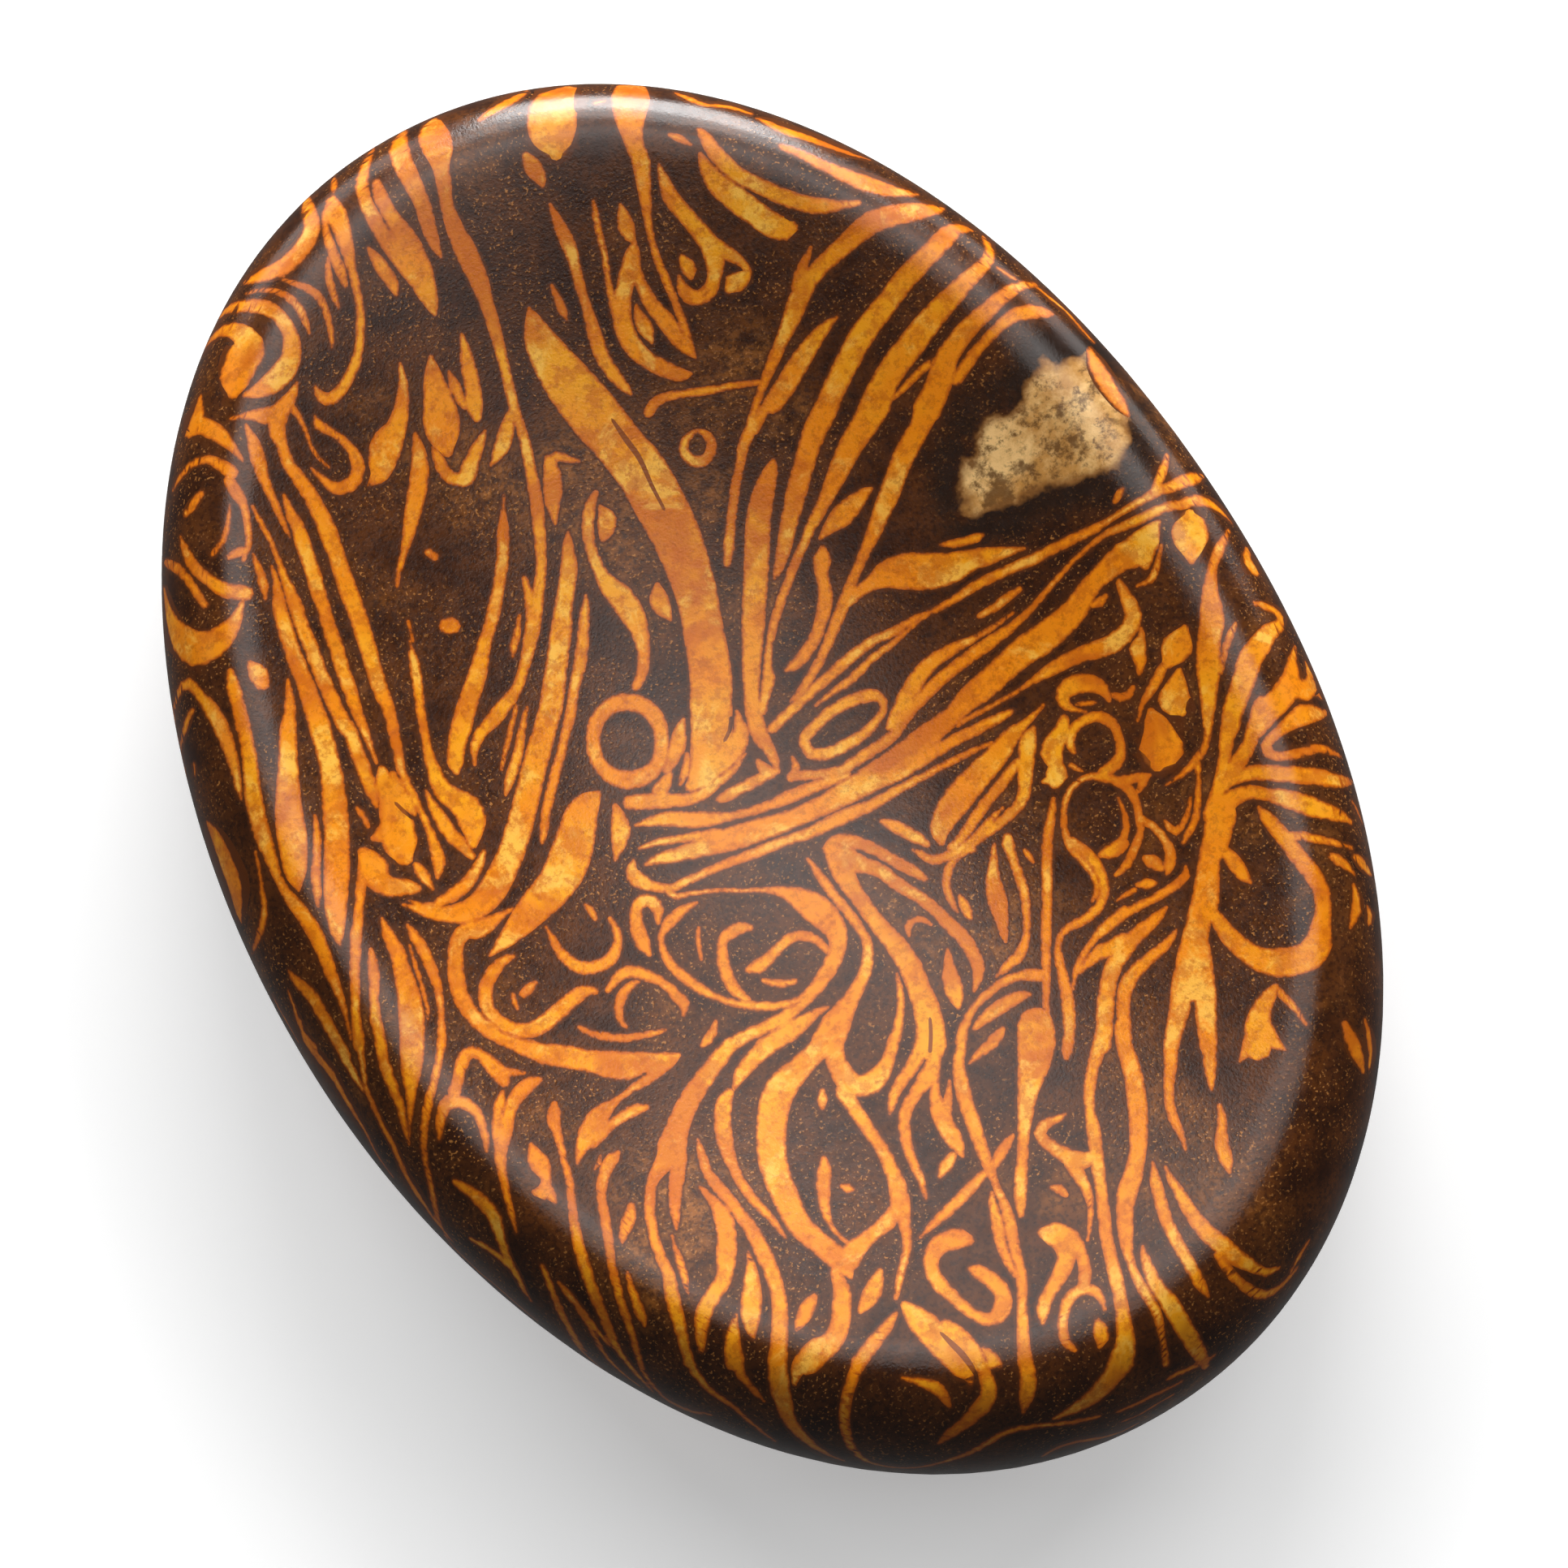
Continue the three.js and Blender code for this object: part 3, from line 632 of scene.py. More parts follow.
# %% Hollow, lower right
LOWER_RIGHT = [
    [(1019, 1047, 12), (1030, 1041, 24), (1047, 1037, 18), (1074, 1045, 14), (1101, 1060, 14),
     (1123, 1072, 14), (1140, 1083, 7)],
    [(1024, 1048, 16), (1040, 1057, 30), (1060, 1065, 22), (1085, 1073, 17), (1107, 1090, 17),
     (1129, 1103, 15), (1151, 1120, 15), (1171, 1140, 17), (1189, 1158, 17), (1201, 1179, 16),
     (1206, 1196, 14), (1203, 1211, 9), (1200, 1221, 3)],
    [(1026, 1046, 20), (1034, 1061, 31), (1044, 1085, 24), (1059, 1107, 20), (1074, 1128, 20),
     (1088, 1146, 22), (1107, 1168, 26), (1122, 1192, 28), (1132, 1217, 28), (1141, 1241, 32),
     (1146, 1266, 34), (1148, 1290, 36)],
    [(995, 1058, 3), (1009, 1077, 10), (1026, 1101, 12), (1044, 1123, 12), (1060, 1145, 12),
     (1069, 1163, 12), (1069, 1182, 14), (1064, 1203, 15), (1052, 1225, 18), (1040, 1245, 26),
     (1029, 1265, 36), (1018, 1287, 38)],
    [(985, 1240, 12), (965, 1255, 18), (940, 1267, 16), (915, 1279, 16), (900, 1288, 16)],
    [(1000, 1226, 12), (985, 1240, 12)],
    [(1020, 1241, 4), (1006, 1248, 10), (990, 1259, 18), (974, 1270, 24), (955, 1282, 24),
     (940, 1292, 24)],
    [(1105, 1200, 3), (1109, 1220, 8), (1110, 1240, 9), (1108, 1258, 11), (1104, 1275, 13),
     (1097, 1290, 13)],
    [(1120, 1153, 3), (1119, 1142, 9), (1126, 1134, 8), (1137, 1133, 7), (1147, 1139, 3)],
    [(1168, 1170, 4), (1169, 1185, 11), (1171, 1203, 20), (1175, 1218, 23), (1179, 1232, 16),
     (1181, 1241, 5)],
    [(1285, 869, 4), (1268, 887, 8), (1252, 901, 17), (1246, 907, 22), (1232, 926, 27), (1215, 945, 31),
     (1197, 965, 35), (1180, 985, 36), (1166, 1004, 32), (1158, 1023, 24), (1160, 1038, 8)],
    [(1273, 897, 6), (1267, 912, 21), (1265, 930, 21), (1263, 950, 19), (1263, 970, 16),
     (1258, 988, 14), (1245, 1003, 14), (1230, 1015, 13), (1212, 1028, 13), (1193, 1041, 13),
     (1172, 1053, 12), (1150, 1059, 12), (1135, 1052, 8), (1125, 1047, 3)],
    [(1255, 938, 10), (1246, 950, 14), (1233, 967, 14), (1220, 983, 14), (1208, 998, 14),
     (1197, 1015, 14), (1186, 1031, 12), (1172, 1045, 10)],
    [(1235, 996, 4), (1222, 1009, 8), (1209, 1023, 8), (1196, 1035, 7), (1184, 1044, 4)],
    [(1199, 1047, 8), (1185, 1052, 7), (1174, 1062, 10), (1167, 1078, 11), (1167, 1095, 9),
     (1173, 1112, 8), (1180, 1124, 4)],
    [(1183, 1104, 5), (1188, 1115, 12), (1193, 1126, 12), (1196, 1132, 4)],
    [(1225, 1040, 3), (1224, 1060, 10), (1224, 1085, 18), (1229, 1110, 23), (1234, 1132, 16),
     (1237, 1150, 10), (1239, 1160, 3)],
    [(1241, 1031, 10), (1242, 1039, 15), (1248, 1058, 11), (1256, 1080, 12), (1263, 1105, 11),
     (1265, 1132, 9), (1264, 1157, 9), (1256, 1176, 14), (1242, 1190, 12), (1228, 1203, 3)],
    [(1298, 985, 5), (1296, 1000, 10), (1292, 1025, 12), (1290, 1050, 13), (1290, 1100, 12),
     (1289, 1150, 12), (1289, 1200, 10), (1289, 1240, 8), (1288, 1260, 8)],
    [(1263, 1048, 4), (1268, 1055, 7), (1273, 1062, 3)],
    [(1358, 955, 8), (1334, 960, 7), (1317, 976, 7), (1311, 998, 7), (1312, 1023, 8), (1320, 1045, 9),
     (1334, 1061, 8), (1347, 1078, 8), (1352, 1094, 8), (1347, 1110, 5)],
    [(1320, 1035, 8), (1328, 1042, 12), (1345, 1058, 14), (1357, 1077, 12), (1361, 1097, 12),
     (1353, 1118, 12), (1337, 1132, 12), (1317, 1143, 10), (1307, 1153, 8), (1304, 1165, 8),
     (1304, 1178, 10), (1309, 1200, 12), (1314, 1224, 15), (1317, 1248, 15), (1317, 1273, 13),
     (1316, 1290, 12)],
    [(1358, 1050, 6), (1366, 1052, 14), (1378, 1046, 14), (1385, 1040, 12)],
    [(1311, 886, 12), (1308, 900, 18), (1300, 915, 26), (1296, 928, 28), (1301, 942, 18),
     (1302, 955, 28), (1300, 964, 16)],
    [(1286, 963, 5), (1297, 961, 14)],
    [(1323, 927, 6), (1318, 915, 12), (1321, 901, 12), (1333, 889, 12), (1352, 883, 12),
     (1371, 894, 10), (1380, 914, 9), (1380, 933, 12), (1370, 948, 10), (1356, 955, 8)],
    [(1319, 943, 6), (1327, 947, 5), (1333, 950, 2)],
    [(1385, 1122, 12), (1375, 1130, 12), (1356, 1146, 10), (1343, 1165, 8), (1331, 1184, 9),
     (1324, 1203, 6), (1322, 1218, 4)],
    [(1385, 1162, 26), (1370, 1168, 20), (1355, 1176, 14), (1340, 1187, 10), (1330, 1197, 7)],
    [(1281, 1202, 17), (1270, 1201, 15), (1257, 1202, 12), (1235, 1211, 11), (1213, 1228, 10),
     (1199, 1243, 9), (1189, 1263, 11), (1183, 1284, 12)],
    [(1268, 1225, 5), (1257, 1227, 14), (1240, 1236, 17), (1222, 1248, 16), (1208, 1260, 12),
     (1200, 1268, 4)],
]

# %% Right rim, lower part
RIGHT_LOWER = [
    [(1418, 876, 8), (1421, 885, 22), (1426, 897, 33), (1429, 912, 46), (1431, 925, 56),
     (1429, 935, 38), (1426, 942, 16)],
    [(1355, 882, 12), (1371, 891, 11), (1379, 911, 10), (1381, 927, 12), (1375, 941, 15),
     (1360, 952, 14)],
    [(1345, 956, 8), (1370, 960, 12), (1385, 967, 12), (1396, 980, 11), (1402, 998, 9), (1405, 1023, 9),
     (1400, 1040, 10), (1388, 1066, 10), (1375, 1078, 4)],
    [(1380, 961, 10), (1397, 960, 12), (1408, 957, 10), (1417, 955, 3)],
    [(1415, 956, 4), (1407, 966, 11), (1402, 975, 5)],
    [(1378, 983, 3), (1385, 1001, 5), (1388, 1017, 8), (1384, 1033, 9), (1374, 1044, 14),
     (1364, 1050, 14), (1357, 1053, 8)],
    [(1487, 870, 14), (1489, 890, 11), (1487, 911, 8), (1482, 925, 9), (1472, 938, 10), (1459, 952, 7),
     (1437, 967, 2)],
    [(1475, 938, 8), (1477, 960, 6), (1476, 979, 7), (1475, 998, 8), (1472, 1012, 9), (1464, 1026, 8),
     (1458, 1038, 4)],
    [(1467, 983, 3), (1463, 1004, 6), (1456, 1018, 8), (1449, 1025, 11), (1441, 1020, 8),
     (1435, 1012, 4)],
    [(1520, 870, 21), (1515, 892, 20), (1511, 916, 17), (1508, 941, 15), (1504, 965, 17),
     (1499, 985, 20), (1493, 1005, 22)],
    [(1557, 870, 26), (1546, 897, 20), (1538, 919, 17), (1527, 938, 20), (1517, 955, 18),
     (1510, 970, 10)],
    [(1634, 878, 8), (1625, 880, 14), (1609, 884, 17), (1590, 893, 13), (1573, 904, 12),
     (1560, 918, 12), (1563, 928, 13), (1579, 932, 11), (1601, 928, 12), (1623, 922, 11),
     (1640, 926, 8), (1652, 932, 3)],
    [(1512, 965, 12), (1530, 955, 17), (1546, 952, 18), (1573, 953, 20), (1601, 955, 21),
     (1628, 958, 21), (1648, 962, 18), (1660, 963, 12), (1666, 963, 5)],
    [(1498, 1015, 24), (1508, 992, 24), (1524, 981, 20), (1540, 976, 17), (1557, 978, 15),
     (1573, 981, 19), (1588, 985, 23), (1605, 990, 25), (1622, 996, 24), (1640, 1001, 20),
     (1655, 1007, 13), (1665, 1013, 6)],
    [(1512, 990, 20), (1507, 1001, 34), (1501, 1023, 35), (1495, 1045, 31), (1490, 1061, 27),
     (1487, 1089, 30), (1484, 1116, 34), (1478, 1132, 31), (1473, 1154, 31), (1472, 1170, 39),
     (1471, 1198, 48), (1470, 1211, 49), (1469, 1220, 30)],
    [(1462, 1198, 30), (1456, 1211, 24), (1454, 1239, 25), (1448, 1266, 22), (1443, 1290, 18)],
    [(1476, 1180, 30), (1482, 1205, 28), (1485, 1225, 26), (1486, 1247, 26), (1487, 1266, 23),
     (1489, 1290, 20)],
    [(1551, 995, 4), (1557, 1003, 12), (1565, 1012, 17), (1576, 1025, 18), (1588, 1040, 19),
     (1602, 1058, 21), (1615, 1074, 21), (1625, 1090, 21), (1630, 1107, 20), (1630, 1128, 20),
     (1627, 1145, 26), (1625, 1160, 33), (1614, 1177, 36), (1595, 1184, 35), (1574, 1186, 36),
     (1552, 1182, 29), (1533, 1170, 25), (1516, 1155, 22), (1504, 1139, 18), (1495, 1125, 14),
     (1490, 1112, 10)],
    [(1584, 1030, 8), (1600, 1030, 12), (1617, 1033, 11), (1634, 1036, 9), (1650, 1040, 7),
     (1666, 1045, 3)],
    [(1507, 1047, 12), (1517, 1058, 17), (1526, 1070, 17), (1534, 1081, 13), (1541, 1087, 4)],
    [(1411, 1058, 8), (1418, 1061, 17), (1427, 1066, 15), (1432, 1071, 6)],
    [(1402, 1090, 6), (1412, 1089, 13), (1420, 1089, 10), (1425, 1088, 3)],
    [(1376, 1110, 2), (1386, 1103, 5), (1398, 1097, 6)],
    [(1404, 1008, 10), (1416, 1015, 9), (1426, 1023, 10), (1435, 1035, 11), (1442, 1050, 12),
     (1441, 1064, 14), (1438, 1076, 5)],
    [(1461, 1068, 3), (1461, 1078, 10), (1450, 1090, 11), (1436, 1099, 11), (1418, 1109, 10),
     (1400, 1118, 11), (1384, 1128, 11), (1370, 1140, 10), (1356, 1151, 10)],
    [(1437, 1118, 3), (1428, 1128, 12), (1414, 1141, 17), (1400, 1153, 20), (1388, 1166, 22),
     (1378, 1180, 22), (1370, 1196, 20), (1365, 1215, 20), (1362, 1240, 21), (1361, 1265, 20),
     (1360, 1290, 18)],
    [(1385, 1165, 20), (1370, 1168, 18), (1355, 1173, 18), (1340, 1187, 10), (1330, 1197, 7)],
    [(1449, 1146, 3), (1442, 1158, 10), (1430, 1170, 13), (1415, 1182, 15), (1402, 1194, 17),
     (1391, 1209, 19), (1385, 1225, 17), (1384, 1247, 16), (1386, 1270, 16), (1388, 1290, 14)],
    [(1640, 1055, 8), (1650, 1060, 14), (1660, 1068, 10), (1669, 1078, 3)],
    [(1669, 1056, 8), (1678, 1063, 16), (1686, 1073, 12), (1690, 1078, 4)],
    [(1668, 1091, 5), (1671, 1105, 14), (1672, 1118, 17), (1668, 1130, 12), (1664, 1143, 3)],
    [(1685, 1118, 5), (1688, 1127, 12), (1687, 1136, 10)],
    [(1666, 988, 4), (1673, 1000, 7), (1679, 1015, 3)],
    [(1572, 1216, 8), (1563, 1228, 18), (1555, 1243, 24), (1550, 1262, 30), (1549, 1280, 32),
     (1550, 1290, 34)],
    [(1571, 1217, 8), (1580, 1226, 9), (1590, 1236, 8), (1600, 1248, 7), (1609, 1262, 3)],
]

# %% Near rim, left end
NEAR_LEFT_EDGE = [
    [(370, 1258, 6), (376, 1283, 10), (391, 1302, 15), (408, 1323, 16), (419, 1342, 12),
     (428, 1358, 12), (440, 1378, 9), (451, 1396, 6), (466, 1425, 5), (484, 1450, 4)],
    [(403, 1260, 17), (417, 1287, 15), (431, 1315, 13), (440, 1331, 9), (447, 1343, 6)],
    [(440, 1260, 10), (443, 1287, 9), (447, 1315, 7), (451, 1340, 7), (460, 1363, 8), (473, 1390, 9),
     (487, 1417, 9), (499, 1446, 11), (512, 1468, 13), (528, 1492, 9), (543, 1512, 8), (558, 1530, 4)],
    [(463, 1260, 12), (469, 1287, 13), (475, 1315, 14), (485, 1342, 13), (493, 1363, 11),
     (498, 1385, 9), (502, 1402, 5), (504, 1410, 2)],
    [(508, 1260, 29), (508, 1287, 30), (507, 1315, 26), (506, 1342, 15), (506, 1363, 9), (505, 1385, 5),
     (505, 1400, 2)],
    [(544, 1260, 9), (543, 1287, 9), (539, 1315, 9), (532, 1342, 10), (527, 1363, 11), (523, 1387, 10),
     (522, 1413, 8), (525, 1435, 7), (529, 1451, 8), (533, 1473, 10), (538, 1495, 8), (545, 1514, 7),
     (556, 1528, 3)],
    [(541, 1402, 5), (542, 1385, 10), (546, 1368, 14), (553, 1358, 18), (565, 1357, 16),
     (578, 1362, 14), (588, 1372, 12), (594, 1385, 10), (598, 1400, 9), (600, 1418, 4)],
    [(563, 1330, 10), (560, 1345, 16)],
    [(563, 1340, 12), (567, 1318, 14), (573, 1302, 16), (582, 1296, 14), (592, 1300, 14),
     (604, 1310, 18), (615, 1323, 22), (622, 1333, 14)],
    [(610, 1316, 14), (625, 1321, 12), (640, 1322, 6), (646, 1322, 3)],
    [(664, 1330, 8), (655, 1334, 16), (645, 1342, 18), (636, 1352, 18), (629, 1365, 16),
     (625, 1380, 16), (621, 1397, 20), (617, 1415, 16), (617, 1432, 13), (620, 1450, 10),
     (624, 1470, 8), (628, 1487, 7), (632, 1503, 7), (636, 1517, 3)],
    [(620, 1346, 6), (616, 1358, 12), (613, 1375, 12), (612, 1390, 12), (615, 1405, 14)],
    [(655, 1411, 6), (658, 1421, 16), (663, 1431, 24), (669, 1441, 20), (673, 1452, 12),
     (672, 1463, 14), (668, 1470, 18), (658, 1469, 6)],
    [(672, 1466, 18), (680, 1474, 12), (684, 1481, 4)],
    [(683, 1361, 8), (683, 1370, 16), (682, 1380, 16), (685, 1392, 12), (690, 1408, 9), (695, 1430, 8),
     (701, 1452, 9), (704, 1475, 9), (706, 1495, 10), (709, 1515, 12), (713, 1535, 13), (719, 1555, 14),
     (727, 1580, 14), (736, 1603, 14), (747, 1628, 10), (760, 1655, 6)],
    [(560, 1456, 6), (571, 1463, 12), (585, 1473, 15), (598, 1485, 18), (608, 1498, 18),
     (614, 1515, 16), (619, 1533, 14), (626, 1552, 13), (637, 1572, 11), (646, 1590, 8), (654, 1603, 3)],
    [(579, 1526, 4), (590, 1532, 8), (602, 1539, 10), (615, 1548, 11), (627, 1560, 10)],
    [(668, 1560, 5), (674, 1575, 8), (681, 1592, 9), (690, 1612, 9), (700, 1632, 9), (712, 1652, 7),
     (722, 1665, 4)],
    [(688, 1580, 3), (700, 1594, 8), (712, 1608, 8), (724, 1624, 8), (738, 1642, 8), (750, 1657, 5)],
    [(548, 1522, 4), (560, 1538, 5), (576, 1553, 6), (590, 1567, 6), (605, 1579, 6), (620, 1592, 6),
     (636, 1606, 6), (650, 1618, 6), (662, 1627, 4)],
]

# %% Near hollow left
NEAR_HOLLOW_LEFT = [
    [(622, 1281, 16), (640, 1288, 20), (655, 1293, 24), (671, 1298, 27), (698, 1302, 29),
     (725, 1307, 30), (752, 1312, 36), (772, 1313, 36), (794, 1309, 27), (813, 1309, 27),
     (826, 1305, 18), (836, 1300, 5)],
    [(815, 1318, 12), (797, 1330, 13), (780, 1341, 9), (768, 1350, 6), (757, 1358, 9), (745, 1368, 19),
     (735, 1381, 27), (726, 1396, 27), (719, 1410, 18), (714, 1422, 10), (712, 1434, 3)],
    [(797, 1364, 6), (787, 1366, 13), (775, 1371, 14), (762, 1379, 12), (750, 1388, 12),
     (740, 1398, 14), (730, 1410, 10)],
    [(900, 1287, 18), (887, 1303, 21), (875, 1319, 22), (860, 1339, 24), (848, 1359, 25),
     (838, 1380, 27), (832, 1398, 30), (828, 1413, 35), (824, 1426, 30), (815, 1437, 20),
     (804, 1455, 13), (801, 1475, 12), (801, 1495, 13), (804, 1515, 12), (809, 1535, 12),
     (816, 1553, 13), (824, 1572, 15), (829, 1600, 18), (836, 1629, 15), (843, 1656, 13),
     (848, 1680, 11)],
    [(838, 1418, 16), (837, 1433, 17), (834, 1451, 18), (832, 1473, 15), (832, 1495, 11),
     (834, 1514, 3)],
    [(955, 1283, 20), (943, 1293, 21), (930, 1303, 20), (914, 1321, 17), (908, 1333, 10),
     (904, 1342, 4)],
    [(898, 1347, 12), (893, 1358, 19), (890, 1378, 20), (893, 1405, 20), (900, 1429, 15),
     (913, 1457, 12), (931, 1481, 12), (949, 1500, 9), (960, 1514, 6), (968, 1525, 3)],
    [(860, 1405, 4), (865, 1424, 10), (874, 1448, 13), (891, 1470, 15), (909, 1492, 15),
     (928, 1519, 18), (942, 1547, 20), (953, 1574, 18), (960, 1601, 18), (961, 1629, 20),
     (960, 1656, 21), (959, 1680, 22)],
    [(862, 1462, 3), (870, 1470, 8), (880, 1481, 13), (890, 1497, 22), (895, 1520, 24), (895, 1547, 24),
     (892, 1574, 20), (879, 1596, 20), (867, 1618, 20), (864, 1642, 15), (864, 1664, 6)],
    [(922, 1542, 3), (925, 1556, 9), (926, 1574, 18), (926, 1601, 25), (925, 1623, 23), (927, 1642, 11),
     (928, 1648, 4)],
    [(907, 1620, 3), (904, 1632, 11), (903, 1646, 17), (903, 1663, 20), (904, 1680, 20)],
    [(778, 1485, 8), (776, 1498, 15), (771, 1512, 15), (767, 1526, 8), (766, 1531, 3)],
    [(762, 1419, 5), (756, 1426, 14), (748, 1438, 15), (743, 1452, 14), (741, 1473, 11),
     (745, 1500, 12), (750, 1528, 11), (753, 1555, 10), (761, 1588, 10), (769, 1615, 10),
     (781, 1651, 8), (788, 1675, 7)],
    [(773, 1567, 3), (776, 1580, 7), (781, 1596, 10), (787, 1613, 13), (792, 1625, 10), (794, 1634, 3)],
    [(828, 1523, 3), (833, 1540, 6), (838, 1556, 10), (843, 1572, 9), (846, 1587, 5), (848, 1593, 2)],
]

# %% Near hollow middle
NEAR_HOLLOW_MIDDLE = [
    [(1030, 1262, 36), (1018, 1284, 28), (1001, 1300, 26), (982, 1319, 30), (967, 1335, 36),
     (957, 1352, 38), (952, 1375, 37), (950, 1402, 36), (952, 1429, 35), (960, 1457, 33),
     (970, 1479, 32), (981, 1504, 30), (998, 1522, 28), (1015, 1536, 27), (1030, 1549, 28),
     (1042, 1561, 22), (1048, 1574, 5)],
    [(1104, 1275, 13), (1098, 1295, 14), (1093, 1309, 17), (1086, 1322, 22), (1075, 1333, 28),
     (1060, 1338, 28), (1045, 1332, 28), (1035, 1318, 26), (1029, 1303, 24), (1031, 1290, 18),
     (1034, 1278, 10)],
    [(1040, 1345, 22), (1055, 1369, 17), (1073, 1396, 16), (1088, 1418, 16), (1098, 1440, 18),
     (1106, 1462, 21), (1109, 1484, 24), (1114, 1506, 15), (1118, 1528, 11), (1115, 1550, 10),
     (1109, 1574, 9), (1104, 1599, 5)],
    [(1106, 1488, 18), (1093, 1506, 20), (1078, 1518, 18), (1064, 1530, 20), (1053, 1540, 26),
     (1045, 1552, 30)],
    [(1015, 1427, 6), (1016, 1438, 15), (1015, 1457, 18), (1015, 1473, 15), (1017, 1492, 11),
     (1024, 1511, 6), (1032, 1521, 5), (1043, 1530, 4)],
    [(1038, 1462, 6), (1045, 1464, 12), (1051, 1466, 5)],
    [(1013, 1344, 6), (1013, 1354, 13), (1013, 1364, 6)],
    [(1139, 1262, 17), (1136, 1287, 19), (1127, 1309, 17), (1114, 1328, 15), (1103, 1345, 13),
     (1099, 1361, 10), (1096, 1372, 3)],
    [(1157, 1262, 13), (1154, 1287, 15), (1150, 1309, 17), (1142, 1328, 22), (1131, 1343, 16),
     (1118, 1364, 15), (1114, 1384, 14), (1117, 1408, 13), (1124, 1430, 11), (1134, 1452, 9),
     (1141, 1476, 4)],
    [(1154, 1310, 10), (1153, 1330, 9), (1152, 1350, 13), (1158, 1369, 22), (1166, 1388, 22),
     (1178, 1408, 19), (1186, 1424, 4)],
    [(1170, 1332, 3), (1169, 1348, 8), (1166, 1368, 14)],
    [(1188, 1262, 11), (1185, 1287, 12), (1181, 1312, 14), (1185, 1336, 18), (1190, 1358, 18),
     (1198, 1380, 18), (1205, 1402, 16), (1213, 1424, 15), (1220, 1440, 13), (1227, 1460, 8),
     (1235, 1479, 11), (1243, 1500, 14), (1248, 1528, 14), (1255, 1555, 12), (1259, 1577, 13),
     (1259, 1601, 12), (1260, 1629, 13), (1261, 1656, 15), (1263, 1680, 18)],
    [(1222, 1470, 4), (1223, 1480, 9), (1227, 1500, 14), (1233, 1528, 14), (1240, 1550, 11),
     (1251, 1570, 8)],
    [(1248, 1399, 4), (1240, 1410, 12), (1232, 1423, 14), (1225, 1437, 10)],
    [(1213, 1446, 10), (1203, 1456, 13), (1190, 1470, 14), (1178, 1482, 14), (1166, 1494, 13),
     (1152, 1506, 10), (1141, 1517, 5), (1134, 1525, 2)],
    [(1235, 1268, 6), (1229, 1277, 14), (1219, 1288, 14), (1208, 1297, 10), (1199, 1306, 6),
     (1194, 1310, 2)],
    [(1175, 1422, 8), (1170, 1430, 14), (1163, 1440, 15), (1158, 1449, 5)],
    [(1276, 1262, 44), (1277, 1287, 46), (1273, 1315, 37), (1267, 1342, 26), (1264, 1369, 19),
     (1261, 1397, 14), (1260, 1424, 13), (1258, 1451, 15), (1257, 1479, 14), (1258, 1497, 7)],
    [(1318, 1262, 14), (1317, 1279, 14), (1315, 1296, 13), (1314, 1303, 6)],
]

